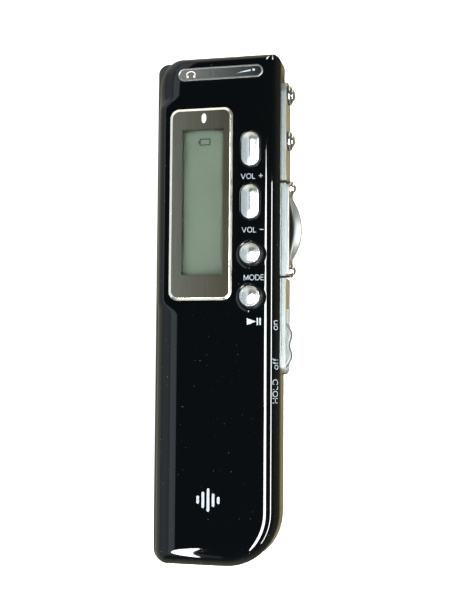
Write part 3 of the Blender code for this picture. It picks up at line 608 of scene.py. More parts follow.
def flared_hole(name, outline_at, bottom, flare, lip):
    """Cutter that widens towards the surface, so that the hole it leaves has a chamfered mouth."""
    rings = [at_z(outline_at(0.0), bottom), at_z(outline_at(0.0), FACE - lip)]
    for i in range(1, 5):
        share = i / 4
        rings.append(at_z(outline_at(flare * share * share), FACE - lip * (1 - share)))
    rings.append(at_z(outline_at(flare + 0.02), FACE + 1.5))
    return loft(name, rings)


COLLAR_RISE = 0.75
COLLAR_OFFSET = 0.25


def collar(name, x, y, radius):
    """Low raised ring round a round button: a soft inner slope and a longer outer one."""
    heights = (
        (0.0, -0.5), (0.0, -0.01), (0.10, 0.03), (0.22, 0.08), (0.34, 0.11), (0.42, 0.12),
        (0.50, 0.11), (0.62, 0.075), (0.80, 0.025), (0.88, 0.01), (0.95, -0.01), (0.95, -0.5),
    )
    profile = [(radius + out, FACE + up * COLLAR_RISE) for out, up in heights]
    place = (x + COLLAR_OFFSET, y - COLLAR_OFFSET, 0)
    return turned_hoop(name, profile, place, "Z", None, 96, 60.0)


def front_cover():
    outer, inner = skins(COVER_LEFT, COVER_EDGES, PARTING, FACE, 1, True)
    cover = shell("cover_shell", outer, inner, BLACK_GLOSS)
    beads = []
    for node, _, is_round in BUTTONS:
        x, y, width, _ = button_size(node)
        if is_round:
            beads.append(collar(f"{node}_bead", x, y, width / 2 + 0.1))
    carve(cover, beads, "UNION")
    cutters = [
        slab("bezel_pocket", pad(*footprint("display_bezel", 0.12), 2.0), 15.0, FACE + 2),
        slab("window_opening", pad(*window_edges(0.65), 0.6), 13.0, FACE + 2),
    ]
    low, high = span("label_plate")
    label = pad(*footprint("label_plate", 0.1), (high[1] - low[1]) / 2)
    cutters.append(slab("label_pocket", label, FACE - 0.5, FACE + 2))
    for node, _, is_round in BUTTONS:
        x, y, width, length = button_size(node)

        def outline_at(flare, x=x, y=y, width=width, length=length):
            grow = 2 * (0.13 + flare)
            return stadium(x, y, width + grow, length + grow)

        cutters.append(flared_hole(f"{node}_hole", outline_at, 13.0, 0.28, 0.22))
    x, y, z = middle("microphone_capsule")
    cutters.append(rod("microphone_hole", 0.6, -3, 3, (x, TOP, z), "Y"))
    carve(cover, cutters)
    return place_on(cover, "root", "black_gloss", "front_cover")


def window_edges(grow):
    """The bezel's window, from the pane behind it, grown on every side."""
    low, high = span("display_window")
    return low[0] + 1.1 - grow, high[0] - 1.1 + grow, low[1] + 1.1 - grow, high[1] - 0.8 + grow


def door_opening(name, grow):
    low, high = span("battery_door")
    x0, x1 = low[0] + 0.55, high[0] - 0.45
    return box(name, x0 - grow, x1 + grow, BOTTOM - 1, high[1] + grow, -1, high[2] + grow)


def rear_shell(name, material):
    outer, inner = skins(CASE_LEFT, REAR_EDGES, CASE_RIM, 0.0, -1, False, 16)
    return shell(name, outer, inner, material)


def rear_case():
    case = rear_shell("case_shell", SMOKED_GOLD)
    low, high = span("side_trim")
    recess = pad(low[1] - GAP, RECESS_TOP, low[2] - GAP, high[2] + GAP, 2.5)
    cutters = [
        door_opening("door_opening", GAP),
        side_slab("trim_recess", recess, low[0] - GAP, RIGHT + 3),
        box("recess_gap", low[0] - GAP, RIGHT + 3, high[1] - 0.3, RECESS_TOP, high[2] - 1, CASE_RIM + 1),
    ]
    carve(case, cutters)
    cutters = []
    low, high = span("usb_port")
    mouth = pad(low[1] - GAP, high[1] + GAP, low[2] - GAP, high[2] + GAP, 0.5, 4)
    cutters.append(side_slab("usb_mouth", mouth, CASE_LEFT - 1, CASE_LEFT + 3))
    for node in ("headphone_jack", "microphone_jack"):
        x, _, _ = middle(node)
        cutters.append(rod(f"{node}_mouth", 2.62, -3, 2, (x, TOP, SOCKET_HEIGHT), "Y"))
    x, y, _ = middle("speaker")
    for row in range(5):
        offset = (row - 2) * 2.0
        half = math.sqrt(25.0 - offset * offset) + 0.5
        slot = pad(x - half, x + half, y + offset - 0.45, y + offset + 0.45, 0.44, 6)
        cutters.append(slab(f"speaker_slot_{row}", slot, -1, 2.5))
    wells = []
    for number in range(1, 5):
        x, y, _ = middle(f"case_screw_{number}")
        profile = ((1.95, -1.0), (1.95, -0.1), (1.72, 0.12), (1.72, 1.3), (0.9, 1.3), (0.9, 4.0))
        cutters.append(turned(f"screw_well_{number}", profile, (x, y, 0), "Z", None, 40))
        wells.append(rod(f"screw_pad_{number}", 2.3, 0.7, 2.4, (x, y, 0), "Z"))
    carve(case, wells, "UNION")
    carve(case, cutters)
    case.data.materials.append(BLACK_PLASTIC)
    for face in case.data.polygons:
        if face.normal.z > 0.9 and face.center.z / MM > CASE_RIM - 0.1:
            face.material_index = 1
    return place_on(case, "root", "smoked_gold", "rear_case")


def battery_door():
    door = rear_shell("door_panel", SMOKED_GOLD)
    carve(door, [door_opening("door_edge", 0.0)], "INTERSECT")
    low, high = span("battery_door")
    x = (low[0] + high[0]) / 2
    grips = []
    for row in range(6):
        y = high[1] - 4.0 - row * 1.1
        half = 5.0 - row * 0.55
        grips.append(slab(f"grip_{row}", pad(x - half, x + half, y - 0.28, y + 0.28, 0.27, 5), -1, 0.35))
    carve(door, grips)
    rails = [
        box("left_rail", low[0], low[0] + 1.0, -48.0, -4.0, 1.7, 2.3),
        box("right_rail", high[0] - 1.0, high[0], -44.0, -4.0, 1.2, 1.7),
    ]
    carve(door, rails, "UNION")
    return place_on(door, "door", "smoked_gold", "battery_door")


# ---------------------------------------------------------------- display


def display_bezel():
    """Metal frame: a flat plate with a bright cut edge and a straight skirt down to the pane. The cut edge is
    darker on its right and lower sides, and the window's inner walls are black: painted shade.
    """
    x0, x1, y0, y1 = footprint("display_bezel")
    top = BEZEL_HIGH[2]
    sections = ((0.0, top - 0.6), (0.0, top - 0.30), (0.03, top - 0.24), (0.46, top - 0.02), (0.54, top))
    outer = [at_z(pad(x0 + d, x1 - d, y0 + d, y1 - d, 1.9 - d * 0.8), z) for d, z in sections]
    bezel = loft("bezel_frame", outer, TAUPE_METAL, 12.0)
    bezel.data.materials.append(BRIGHT_EDGE)
    for face in bezel.data.polygons:
        if 0.05 < face.normal.z < 0.995 or abs(face.normal.z) < 0.05:
            face.material_index = 1
    carve(bezel, [slab("skirt", pad(*window_edges(0.5), 0.6, 4), BEZEL_LOW[2], top - 0.3)], "UNION", 12.0)
    window = [at_z(pad(*window_edges(-0.05), 0.12, 3), BEZEL_LOW[2] - 1)]
    window.append(at_z(pad(*window_edges(0.0), 0.12, 3), top + 1))
    lens_low, lens_high = span("led_lens")
    x, y, _ = middle("led_lens")
    hole = ellipse(x, y, (lens_high[0] - lens_low[0]) / 2 + 0.05, (lens_high[1] - lens_low[1]) / 2 + 0.05)
    carve(bezel, [loft("window_cut", window), slab("lens_hole", hole, 10, top + 1)], "DIFFERENCE", 12.0)
    bezel.data.materials.append(BLACK_PLASTIC)
    bezel.data.materials.append(PAINTED_SHADE_EDGE)
    x0, x1, y0, y1 = window_edges(0.1)
    for face in bezel.data.polygons:
        x, y, z = (value / MM for value in face.center)
        # Painted shade: the window's inner walls are black; the skirt's faces below the plate are black too.
        wall = abs(face.normal.z) < 0.5 and x0 < x < x1 and y0 < y < y1
        if wall or z < top - 0.62:
            face.material_index = 2
        # Painted shade: the cut edge's right and lower faces take the darker copy.
        elif face.normal.x > 0.3 or face.normal.y < -0.3:
            face.material_index = 3
    return place_on(bezel, "root", "taupe_metal", "display_bezel")


def ellipse(x, y, half_x, half_y, points=40):
    turns = [math.tau * i / points for i in range(points)]
    return [(x + half_x * math.cos(turn), y + half_y * math.sin(turn)) for turn in turns]


def led_lens():
    low, high = span("led_lens")
    x, y, _ = middle("led_lens")
    half_x, half_y = (high[0] - low[0]) / 2, (high[1] - low[1]) / 2
    rings = [at_z(ellipse(x, y, half_x, half_y), low[2])]
    crown, steps = 0.25, 7
    for i in range(steps + 1):
        turn = math.pi / 2 * 0.92 * i / steps
        grow = math.cos(turn)
        level = high[2] - crown + crown * math.sin(turn)
        rings.append(at_z(ellipse(x, y, half_x * grow, half_y * grow), level))
    place_on(loft("record_lens", rings, WHITE_LENS), "root", "white_lens", "led_lens")


def battery_mark():
    """Outline of a cell with its nub to the left, drawn as the panel's dark segments."""
    _, high = span("lcd_panel")
    x, y = -2.45, 34.25
    level = high[2] + 0.01
    half_x, half_y, line = 1.15, 0.72, 0.23
    outer = pad(x - half_x, x + half_x, y - half_y, y + half_y, 0.16, 4)
    inner = pad(x - half_x + line, x + half_x - line, y - half_y + line, y + half_y - line, 0.10, 4)
    rings = [at_z(inner, level), at_z(outer, level), at_z(outer, level + 0.03), at_z(inner, level + 0.03)]
    outline = hoop("battery_outline", rings, LCD_MARK)
    place_on(outline, "root", "lcd_green")
    base, tip = x - half_x - 0.02, x - half_x - 0.34
    nub = ((base, y + 0.42), (tip, y + 0.04), (tip, y - 0.04), (base, y - 0.42))
    place_on(slab("battery_nub", nub, level, level + 0.03, LCD_MARK), "root", "lcd_green")


# ---------------------------------------------------------------- buttons and keys


def front_button(node, body, is_round):
    """Domed cap with a rolled edge; a round one has a fine groove inside its rim."""
    x, y, width, length = button_size(node)
    _, (_, _, top) = span(node)
    half = width / 2
    edge = top - 0.62
    sections = [(0.0, FACE - 1.6), (0.0, edge - 0.12)]
    for turn in quarter_turns(5, 1):
        sections.append((0.16 * (1 - math.cos(turn)), edge - 0.12 + 0.12 * math.sin(turn)))
    start = 0.24
    if is_round:
        sections += [(0.27, edge), (0.31, edge - 0.10), (0.37, edge - 0.10), (0.41, edge + 0.02)]
        start = 0.46
    steps = 12
    for i in range(steps + 1):
        inset = start + (half - 0.05 - start) * i / steps
        share = (half - inset) / (half - start)
        sections.append((inset, edge + 0.04 + (top - edge - 0.04) * (1 - share ** 1.55)))
    rings = [at_z(stadium(x, y, width - 2 * d, length - 2 * d), z) for d, z in sections]
    cap = loft(node.replace("button", "cap"), rings, BUTTON_CHROME, 50.0)
    place_on(cap, body, "chrome", node)


def band(piece, *ranges):
    """Blacks the faces whose distance out along X falls in one of the ranges, in millimetres: painted shade
    at the base and in the hollows of a turned chrome piece.
    """
    piece.data.materials.append(BLACK_PLASTIC)
    for face in piece.data.polygons:
        out = face.center.x / MM
        if any(low < out < high for low, high in ranges):
            face.material_index = 1


def side_key(node, body):
    """Turned key: broad base, rounded shoulder, waist and a small crown."""
    _, y, z = middle(node)
    _, (peak, _, _) = span(node)
    profile = [(2.0, KEY_BACK), (2.0, peak - 1.0)]
    for turn in quarter_turns(6, 1):
        profile.append((1.56 + 0.44 * math.cos(turn), peak - 1.0 + 0.30 * math.sin(turn)))
    profile += [(1.38, peak - 0.72), (1.32, peak - 0.66), (1.28, peak - 0.50)]
    for turn in quarter_turns(9, 1):
        profile.append((0.04 + 1.22 * math.cos(turn), peak - 0.48 + 0.48 * math.sin(turn)))
    key = turned(node.replace("key", "knob"), profile, (0, y, z), "X", CHROME, 64, 40.0)
    band(key, (12.5, peak - 1.12), (peak - 0.76, peak - 0.46))
    place_on(key, body, "chrome", node)


ROCKER_BASE = 14.6
ROCKER_HALF = 6.7


def moon(y, half, base, peak, steps=40):
    """Half-moon outline standing on the rocker's bar, as (x, y) points."""
    rise = peak - base
    radius = (half * half + rise * rise) / (2 * rise)
    reach = math.asin(half / radius)
    points = []
    for i in range(steps + 1):
        turn = reach * (2 * i / steps - 1)
        points.append((peak - radius * (1 - math.cos(turn)), y + radius * math.sin(turn)))
    return [(RIDGE_BACK, y - half)] + points + [(RIDGE_BACK, y + half)]


def skip_rocker():
    """Half-moon ridge of the rocker: a bevelled crescent whose outer walls are olive as painted reflection.
    """
    _, (peak, _, _) = span("skip_rocker")
    _, y, z = middle("skip_rocker")
    sections = (
        (0.12, peak - 1.45, -1.45), (0.05, peak - 1.30, -1.42), (0.0, peak, -0.62), (0.0, peak, 0.62),
        (0.05, peak - 1.30, 1.42), (0.12, peak - 1.45, 1.45),
    )
    rings = []
    for inset, top, rise in sections:
        outline = moon(y, ROCKER_HALF - inset, ROCKER_BASE, top)
        rings.append(at_z(outline, z + rise))
    ridge = loft("rocker_ridge", rings, MOON_PAINTED_SHADE, 12.0)
    # Painted reflection: the crescent's outer walls take olive.
    ridge.data.materials.append(OLIVE_PAINTED_REFLECTION)
    for face in ridge.data.polygons:
        if abs(face.normal.z) < 0.2:
            face.material_index = 1
    place_on(ridge, "rocker", "chrome", "skip_rocker")


def rocker_beads():
    """Turned chrome beads at the two ends of the raised block."""
    _, y, z = middle("skip_rocker")
    for name, side in (("upper_bead", 1), ("lower_bead", -1)):
        profile = [
            (1.45, 13.9), (1.45, 14.55), (1.45, 14.84), (1.36, 14.96),
            (1.15, 15.0), (1.1, 14.93), (1.04, 15.02),
        ]
        for i in range(8):
            turn = math.pi / 2 * i / 7.6
            profile.append((0.98 * math.cos(turn) + 0.01, 15.05 + 0.6 * math.sin(turn)))
        bead = turned(name, profile, (0, y + side * 8.5, z), "X", CHROME, 48, 40.0)
        band(bead, (13, 14.5), (14.90, 15.03))
        place_on(bead, "root", "chrome")


def side_trim():
    low, high = span("side_trim")
    _, _, z = middle("side_trim")
    half = (high[2] - low[2]) / 2
    y0, y1 = low[1], high[1]
    sections = ((0.0, low[0]), (0.0, TRIM_FACE - 0.10), (0.03, TRIM_FACE - 0.03), (0.10, TRIM_FACE))
    rings = [at_x(pad(y0 + d, y1 - d, z - half + d, z + half - d, 2.4 - d), x) for d, x in sections]
    trim = loft("trim_strip", rings, SATIN_SILVER, 50.0)
    b0, b1 = BLOCK_LOW, BLOCK_HIGH
    reach = half - 0.12
    sections = ((0.0, low[0] + 0.4), (0.0, BLOCK_FACE - 0.14), (0.03, BLOCK_FACE - 0.05), (0.10, BLOCK_FACE))
    rings = [at_x(pad(b0 + d, b1 - d, z - reach + d, z + reach - d, 0.9 - d), x) for d, x in sections]
    carve(trim, [loft("block", rings)], "UNION", 50.0)
    cutters = []
    for node in ("record_key", "stop_key"):
        _, y, _ = middle(node)
        profile = ((2.14, 10.0), (2.14, TRIM_FACE - 0.12), (2.26, TRIM_FACE), (2.3, TRIM_FACE + 2))
        cutters.append(turned(f"{node}_opening", profile, (0, y, z), "X", None, 64))
    _, rocker_y, _ = middle("skip_rocker")
    cutters += [
        box("rocker_slot", 10, 17, rocker_y - 6.9, rocker_y + 6.9, z - 1.7, z + 1.7),
        box("slider_slot", 10, 17, -12.4, 0.2, z - 1.5, z + 1.5),
        box("upper_groove", 13.0, 17, b1, b1 + 0.6, z - half - 1, z + half + 1),
        box("lower_groove", 13.0, 17, b0 - 0.5, b0, z - half - 1, z + half + 1),
    ]
    carve(trim, cutters, "DIFFERENCE", 50.0)
    trim.data.materials.append(OLIVE_PAINTED_REFLECTION)
    trim.data.materials.append(BLACK_PLASTIC)
    # Painted reflection: the outward faces of the trim and its block take olive. Painted shade: the groove
    # floors and the faces across the strip, at its ends, grooves and slots, are black.
    for face in trim.data.polygons:
        if face.normal.x > 0.8:
            face.material_index = 1 if face.center.x / MM > 13.5 else 2
        elif abs(face.normal.y) > 0.9:
            face.material_index = 2
    place_on(trim, "root", "satin_silver", "side_trim")
    # Black sheet behind the trim: painted shade in the gaps round it.
    liner = pad(y0 + 0.5, y1 + 1.6, z - half + 0.3, z + half + 0.3, 0.3)
    place_on(side_slab("side_painted_shade_sheet", liner, 12.42, 12.5, BLACK_PLASTIC), "root", "black_plastic")


def hold_slider():
    low, high = span("hold_slider")
    _, _, z = middle("hold_slider")
    start, end = low[1], high[1]
    steps = 48
    profile = [(SLIDER_BACK, start)]
    for i in range(steps + 1):
        share = i / steps
        crest = 0.55 * math.sin(math.tau * share) ** 2
        shoulder = 0.85 * math.sin(math.pi * share) ** 0.35
        profile.append((SLIDER_BASE + crest + shoulder, start + (end - start) * share))
    profile.append((SLIDER_BACK, end))
    slider = slab("slider_grip", profile, z - 1.32, z + 1.32, SLIDER_SATIN)
    soften(slider, 0.18, 3, 50.0)
    # Painted shade: the slider's ends are black where they meet the slot.
    slider.data.materials.append(BLACK_PLASTIC)
    for face in slider.data.polygons:
        if not start + 0.35 < face.center.y / MM < end - 0.35:
            face.material_index = 1
    place_on(slider, "slider", "satin_silver", "hold_slider")


# ---------------------------------------------------------------- sockets and screws


def jack(node, ring_name):
    x, _, _ = middle(node)
    place = (x, 0, SOCKET_HEIGHT)
    profile = [
        (2.5, TOP - 3.0), (2.5, TOP - 0.25), (2.36, TOP - 0.1), (1.95, TOP - 0.1),
        (1.8, TOP - 0.28), (1.8, TOP - 12.0), (2.3, TOP - 12.0), (2.3, TOP - 3.0),
    ]
    nose = turned_hoop(f"{node}_nose", profile, place, "Y", BLACK_PLASTIC)
    place_on(nose, "root", "black_plastic", node)
    ring = [(1.78, TOP - 1.2), (1.78, TOP - 0.5), (1.72, TOP - 0.5), (1.72, TOP - 1.2)]
    place_on(turned_hoop(ring_name, ring, place, "Y", GOLD_CONTACT), "root", "switch_metal")
    backing = rod(f"{node}_back", 2.25, TOP - 12.6, TOP - 12.1, place, "Y", BLACK_PLASTIC)
    place_on(backing, "root", "black_plastic")


def usb_socket():
    low, high = span("usb_port")
    _, y, z = middle("usb_port")
    y0, y1, z0, z1 = low[1], high[1], low[2], high[2]
    wall = 0.35
    outer = pad(y0, y1, z0, z1, 0.45, 5)
    inner = pad(y0 + wall, y1 - wall, z0 + wall, z1 - wall, 0.3, 5)
    rings = [at_x(outer, low[0]), at_x(outer, high[0]), at_x(inner, high[0]), at_x(inner, low[0])]
    socket = hoop("usb_shell", rings, SWITCH_METAL)
    place_on(socket, "root", "switch_metal", "usb_port")
    x0, x1 = low[0], high[0]
    place_on(side_slab("usb_back", inner, x1 - 1.4, x1 - 0.2, BLACK_PLASTIC), "root", "black_plastic")
    tongue = box("usb_blade", x0 + 0.7, x1 - 1.0, y - 2.3, y + 2.3, z - 0.35, z + 0.35, BLACK_PLASTIC)
    place_on(soften(tongue, 0.12, 2), "root", "black_plastic")
    for number in range(5):
        at = y + (number - 2) * 0.8
        sides = (x0 + 0.9, x1 - 1.2, at - 0.15, at + 0.15, z + 0.3, z + 0.42)
        place_on(box(f"usb_pin_{number}", *sides, GOLD_CONTACT), "root", "switch_metal")


def case_screw(number):
    node = f"case_screw_{number}"
    x, y, _ = middle(node)
    profile = ((1.2, 0.35), (1.42, 0.42), (1.5, 0.62), (1.5, 1.15), (0.6, 1.15), (0.6, 7.0))
    screw = turned(f"screw_head_{number}", profile, (x, y, 0), "Z", SCREW_STEEL, 40)
    tools = []
    for way, (wide, tall) in enumerate(((0.95, 0.16), (0.16, 0.95))):
        tools.append(box(f"screw_{number}_way_{way}", x - wide, x + wide, y - tall, y + tall, 0.0, 0.85))
    carve(screw, tools)
    place_on(screw, "root", "screw_steel", node)


# ---------------------------------------------------------------- printing


# Radius of a stroke, how much it's flattened, and how far the shoulder's letters stand off the curve
LINE = 0.064
FLATTEN = 0.5
SHOULDER_LIFT = 0.02
PRINT_DEPTH, PRINT_RISE = 0.01, 0.014


def arc(x, y, reach_x, reach_y, start, stop, steps=10):
    """Points along part of an ellipse, with its angles in degrees."""
    turns = [math.radians(start + (stop - start) * i / steps) for i in range(steps + 1)]
    return [(x + reach_x * math.cos(turn), y + reach_y * math.sin(turn)) for turn in turns]


# Each letter's width and strokes, for a capital one unit high
GLYPHS = {
    " ": (0.18, ()),
    "V": (0.84, (((0, 1), (0.42, 0)), ((0.42, 0), (0.84, 1)))),
    "O": (0.92, (arc(0.46, 0.5, 0.46, 0.5, 90, 450, 24),)),
    "L": (0.56, (((0, 1), (0, 0)), ((0, 0), (0.56, 0)))),
    "M": (0.84, (
        ((0, 0), (0, 1)), ((0, 1), (0.42, 0.12)), ((0.42, 0.12), (0.84, 1)), ((0.84, 1), (0.84, 0)),
    )),
    "D": (0.76, (((0, 0), (0, 1)), [(0, 1)] + arc(0.3, 0.5, 0.46, 0.5, 90, -90, 14) + [(0, 0)])),
    "E": (0.60, (((0, 0), (0, 1)), ((0, 1), (0.6, 1)), ((0, 0), (0.6, 0)), ((0, 0.52), (0.52, 0.52)))),
    "H": (0.74, (((0, 0), (0, 1)), ((0.74, 0), (0.74, 1)), ((0, 0.52), (0.74, 0.52)))),
    "I": (0.0, (((0, 0), (0, 1)),)),
    "C": (0.80, (arc(0.48, 0.5, 0.48, 0.5, 48, 312, 20),)),
    "o": (0.60, (arc(0.3, 0.34, 0.3, 0.34, 90, 450, 20),)),
    "n": (0.50, (((0, 0), (0, 0.68)), arc(0.25, 0.40, 0.25, 0.28, 180, 0) + [(0.5, 0)])),
    "f": (0.34, (arc(0.36, 0.80, 0.20, 0.20, 90, 180, 6) + [(0.16, 0)], ((0, 0.64), (0.36, 0.64)))),
    "+": (0.84, (((0, 0.5), (0.84, 0.5)), ((0.42, 0.08), (0.42, 0.92)))),
    "-": (0.84, (((0, 0.5), (0.84, 0.5)),)),
}


def lettering(name, words, cap, material, spacing=0.28, tall=1.0):
    """Thin raised strokes at the origin, centred; cap is a capital's height in millimetres."""
    curve = bpy.data.curves.new(name, "CURVE")
    curve.dimensions = "3D"
    curve.bevel_depth = LINE
    curve.bevel_resolution = 2
    curve.use_fill_caps = True
    pen = 0.0
    for letter in words:
        width, strokes = GLYPHS[letter]
        for points in strokes:
            line = curve.splines.new("POLY")
            closed = points[0] == points[-1] or math.dist(points[0], points[-1]) < 1e-6
            kept = points[:-1] if closed else points
            line.points.add(len(kept) - 1)
            line.use_cyclic_u = closed
            for point, (x, y) in zip(line.points, kept):
                point.co = ((pen + x) * cap, (y - tall / 2) * cap, 0, 1)
        pen += width + spacing
    made = add_object(name, curve)
    mesh = applied_mesh(made)
    bpy.data.objects.remove(made, do_unlink=True)
    mesh.transform(Matrix.Translation(((spacing - pen) * cap / 2, 0, 0)))
    mesh.transform(Matrix.Diagonal((1, 1, FLATTEN, 1)))
    piece = add_object(name, mesh)
    mesh.materials.clear()
    mesh.materials.append(material)
    mesh.shade_smooth()
    return piece


def settle(piece, matrix):
    """Moves a mesh drawn in millimetres to its place and turns it into metres."""
    piece.data.transform(matrix)
    piece.data.transform(Matrix.Scale(MM, 4))
    return piece


def face_label(name, words, cap, x, y, material=PRINT_INK, level=FACE):
    piece = lettering(name, words, cap, material)
    settle(piece, Matrix.Translation((x, y, level)))
    place_on(piece, "root", "white_lens")


def shoulder_label(name, words, cap, x, y, spacing=0.28, tall=1.0):
    """Text along the right shoulder, reading up the case and wrapped onto the rounded edge."""
    width, height = COVER_EDGES[1]
    start = RIGHT - width
    piece = lettering(name, words, cap, PRINT_INK, spacing, tall)
    centre_turn = math.acos(min((x - start) / width, 1.0))
    pace = math.hypot(width * math.sin(centre_turn), height * math.cos(centre_turn))
    for vertex in piece.data.vertices:
        along, across, lift = vertex.co
        turn = centre_turn + across / pace
        normal = Vector((math.cos(turn) / width, 0, math.sin(turn) / height)).normalized()
        base = Vector((start + width * math.cos(turn), y + along, FACE - height + height * math.sin(turn)))
        vertex.co = base + normal * (lift + SHOULDER_LIFT)
    settle(piece, Matrix.Identity(4))
    place_on(piece, "root", "white_lens")


def flat_mark(name, outline, x, y, material, level=FACE):
    """Small printed shape from an outline about its own centre."""
    points = [(x + a, y + b) for a, b in outline]
    place_on(slab(name, points, level - PRINT_DEPTH, level + PRINT_RISE, material), "root", "white_lens")


def printing():
    face_label("print_volume_up", "VOL +", 1.0, 7.85, 26.45)
    face_label("print_volume_down", "VOL -", 1.0, 8.1, 15.6)
    face_label("print_mode", "MODE", 1.02, 8.35, 6.0)
    x, y = 8.5, -2.8
    flat_mark("print_play", ((-1.55, -0.70), (0.35, 0.0), (-1.55, 0.70)), x, y, PRINT_INK)
    for number, offset in enumerate((0.62, 1.18)):
        left, right = offset - 0.15, offset + 0.15
        bar = ((left, -0.72), (right, -0.72), (right, 0.72), (left, 0.72))
        flat_mark(f"print_pause_{number}", bar, x, y, PRINT_INK)
    shoulder_label("print_on", "on", 1.35, 12.58, -3.5, 0.24, 0.68)
    shoulder_label("print_off", "off", 1.35, 12.58, -11.2, 0.14)
    shoulder_label("print_hold", "HOLD", 1.2, 12.55, -16.6)


def level_mark():
    """Generic mark: five rounded sound-level bars."""
    x, y = -0.7, -38.2
    for number, tall in enumerate((1.6, 3.2, 4.6, 2.6, 1.4)):
        flat_mark(f"level_bar_{number}", stadium((number - 2) * 1.05, 0, 0.56, tall, 6), x, y, MARK_INK)


def label_plate():
    """Metal plate with a raised rim, and the marks for the sockets printed on it."""
    low, high = span("label_plate")
    x0, x1, y0, y1 = footprint("label_plate")
    centre = (y0 + y1) / 2
    half = (y1 - y0) / 2
    sections = ((0.0, low[2]), (0.0, high[2] - 0.12), (0.05, high[2] - 0.03), (0.14, high[2]),
                (0.24, high[2]), (0.32, high[2] - 0.06), (0.36, high[2] - 0.06))
    rings = [at_z(pad(x0 + d, x1 - d, y0 + d, y1 - d, half - 0.004 - d, 14), z) for d, z in sections]
    plate = loft("socket_label", rings, RIM_METAL)
    plate.data.materials.append(DARK_CHROME)
    ends = sorted(plate.data.polygons, key=lambda face: face.area)[-2:]
    flat = max(ends, key=lambda face: face.center.z)
    flat.material_index = 1
    place_on(plate, "root", "dark_chrome", "label_plate")
    level = high[2] - 0.06
    x, y = x0 + 2.75, centre
    steps = 20
    outer, inner = [], []
    for i in range(steps + 1):
        turn = math.radians(-35 + 250 * i / steps)
        outer.append((0.98 * math.cos(turn), 0.68 * math.sin(turn)))
        inner.append((0.80 * math.cos(turn), 0.50 * math.sin(turn)))
    flat_mark("print_headphone", outer + inner[::-1], x, y, PINK_INK, level)
    for number, side in enumerate((-1, 1)):
        ear = stadium(side * 0.72, -0.42, 0.42, 0.55, 5)
        flat_mark(f"print_ear_{number}", ear, x, y, PINK_INK, level)
    face_label("print_mic", "MIC", 1.25, x0 + 8.1, centre - 0.05, DARK_INK, level)
    x = x1 - 3.9
    taper = ((-1.6, -0.30), (1.35, -0.02), (1.35, 0.32), (-0.2, 0.02))
    flat_mark("print_wand", taper, x, y, PRINT_INK, level)
    dot = stadium(0, 0, 0.5, 0.5, 6)
    flat_mark("print_dot", dot, x + 2.0, y + 0.2, PRINT_INK, level)


# ---------------------------------------------------------------- parts kept from the CAD model

KEPT = (
    (BLACK_PLASTIC, ("battery_tray", "lcd_holder")),
    (CLEAR_PANE, ("display_window",)),
    (LCD_GREEN, ("lcd_panel",)),
    (CHIP_BLACK, ("lcd_contact_strip", "processor_chip", "memory_chip")),
    (BOARD_GREEN, ("main_board", "side_board")),
    (WHITE_LENS, ("record_led",)),
    (CONE_PAPER, ("speaker",)),
    (CELL_WRAP, ("left_cell", "right_cell")),
    (SPRING_STEEL, ("link_plate", "positive_contact", "negative_contact", "lower_spring", "upper_spring")),
    (SCREW_STEEL, ("board_screw_1", "board_screw_2")),
    (SWITCH_METAL, ("crystal", "microphone_capsule")),
)


def repaint():
    finishes = {name: material for material, names in KEPT for name in names}
    for name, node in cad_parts.items():
        material = SWITCH_METAL if name.endswith("_switch") else finishes.get(name)
        if material:
            node.data.materials.clear()
            node.data.materials.append(material)


# ---------------------------------------------------------------- stage, lights and camera


def stage():
    bm = bmesh.new()
    bmesh.ops.create_grid(bm, x_segments=1, y_segments=1, size=1.5)
    mesh = bpy.data.meshes.new("floor")
    bm.to_mesh(mesh)
    bm.free()
    floor = add_object("floor", mesh)
    made, tree, shader = new_material("pale_floor")
    paper = noise(tree, 0.02, 3.0)
    tree.links.new(ramp(tree, paper, ((0.3, 0.86), (0.7, 0.90))), shader.inputs["Base Color"])
    shader.inputs["Roughness"].default_value = 0.9
    shader.inputs["Emission Color"].default_value = (1.0, 1.0, 1.0, 1.0)
    shader.inputs["Emission Strength"].default_value = 0.4
    mesh.materials.append(made)
    floor.visible_glossy = False


def panel(name, azimuth, elevation, distance, width, length, power, aim, shape="RECTANGLE"):
    """Area light looking at a point; azimuth 0 is +X and 90 is +Y, both angles in degrees."""
    turn, rise = math.radians(azimuth), math.radians(elevation)
    way = Vector((math.cos(rise) * math.cos(turn), math.cos(rise) * math.sin(turn), math.sin(rise)))
    data = bpy.data.lights.new(name, "AREA")
    data.shape = shape
    data.size = width * MM
    data.size_y = length * MM
    data.energy = power
    light = add_object(name, data)
    side = Vector((0, 1, 0)).cross(way).normalized()
    along = way.cross(side).normalized()
    light.matrix_world = Matrix([
        (side[k], along[k], way[k], aim[k] * MM + way[k] * distance * MM) for k in range(3)
    ] + [(0, 0, 0, 1)])
    return light


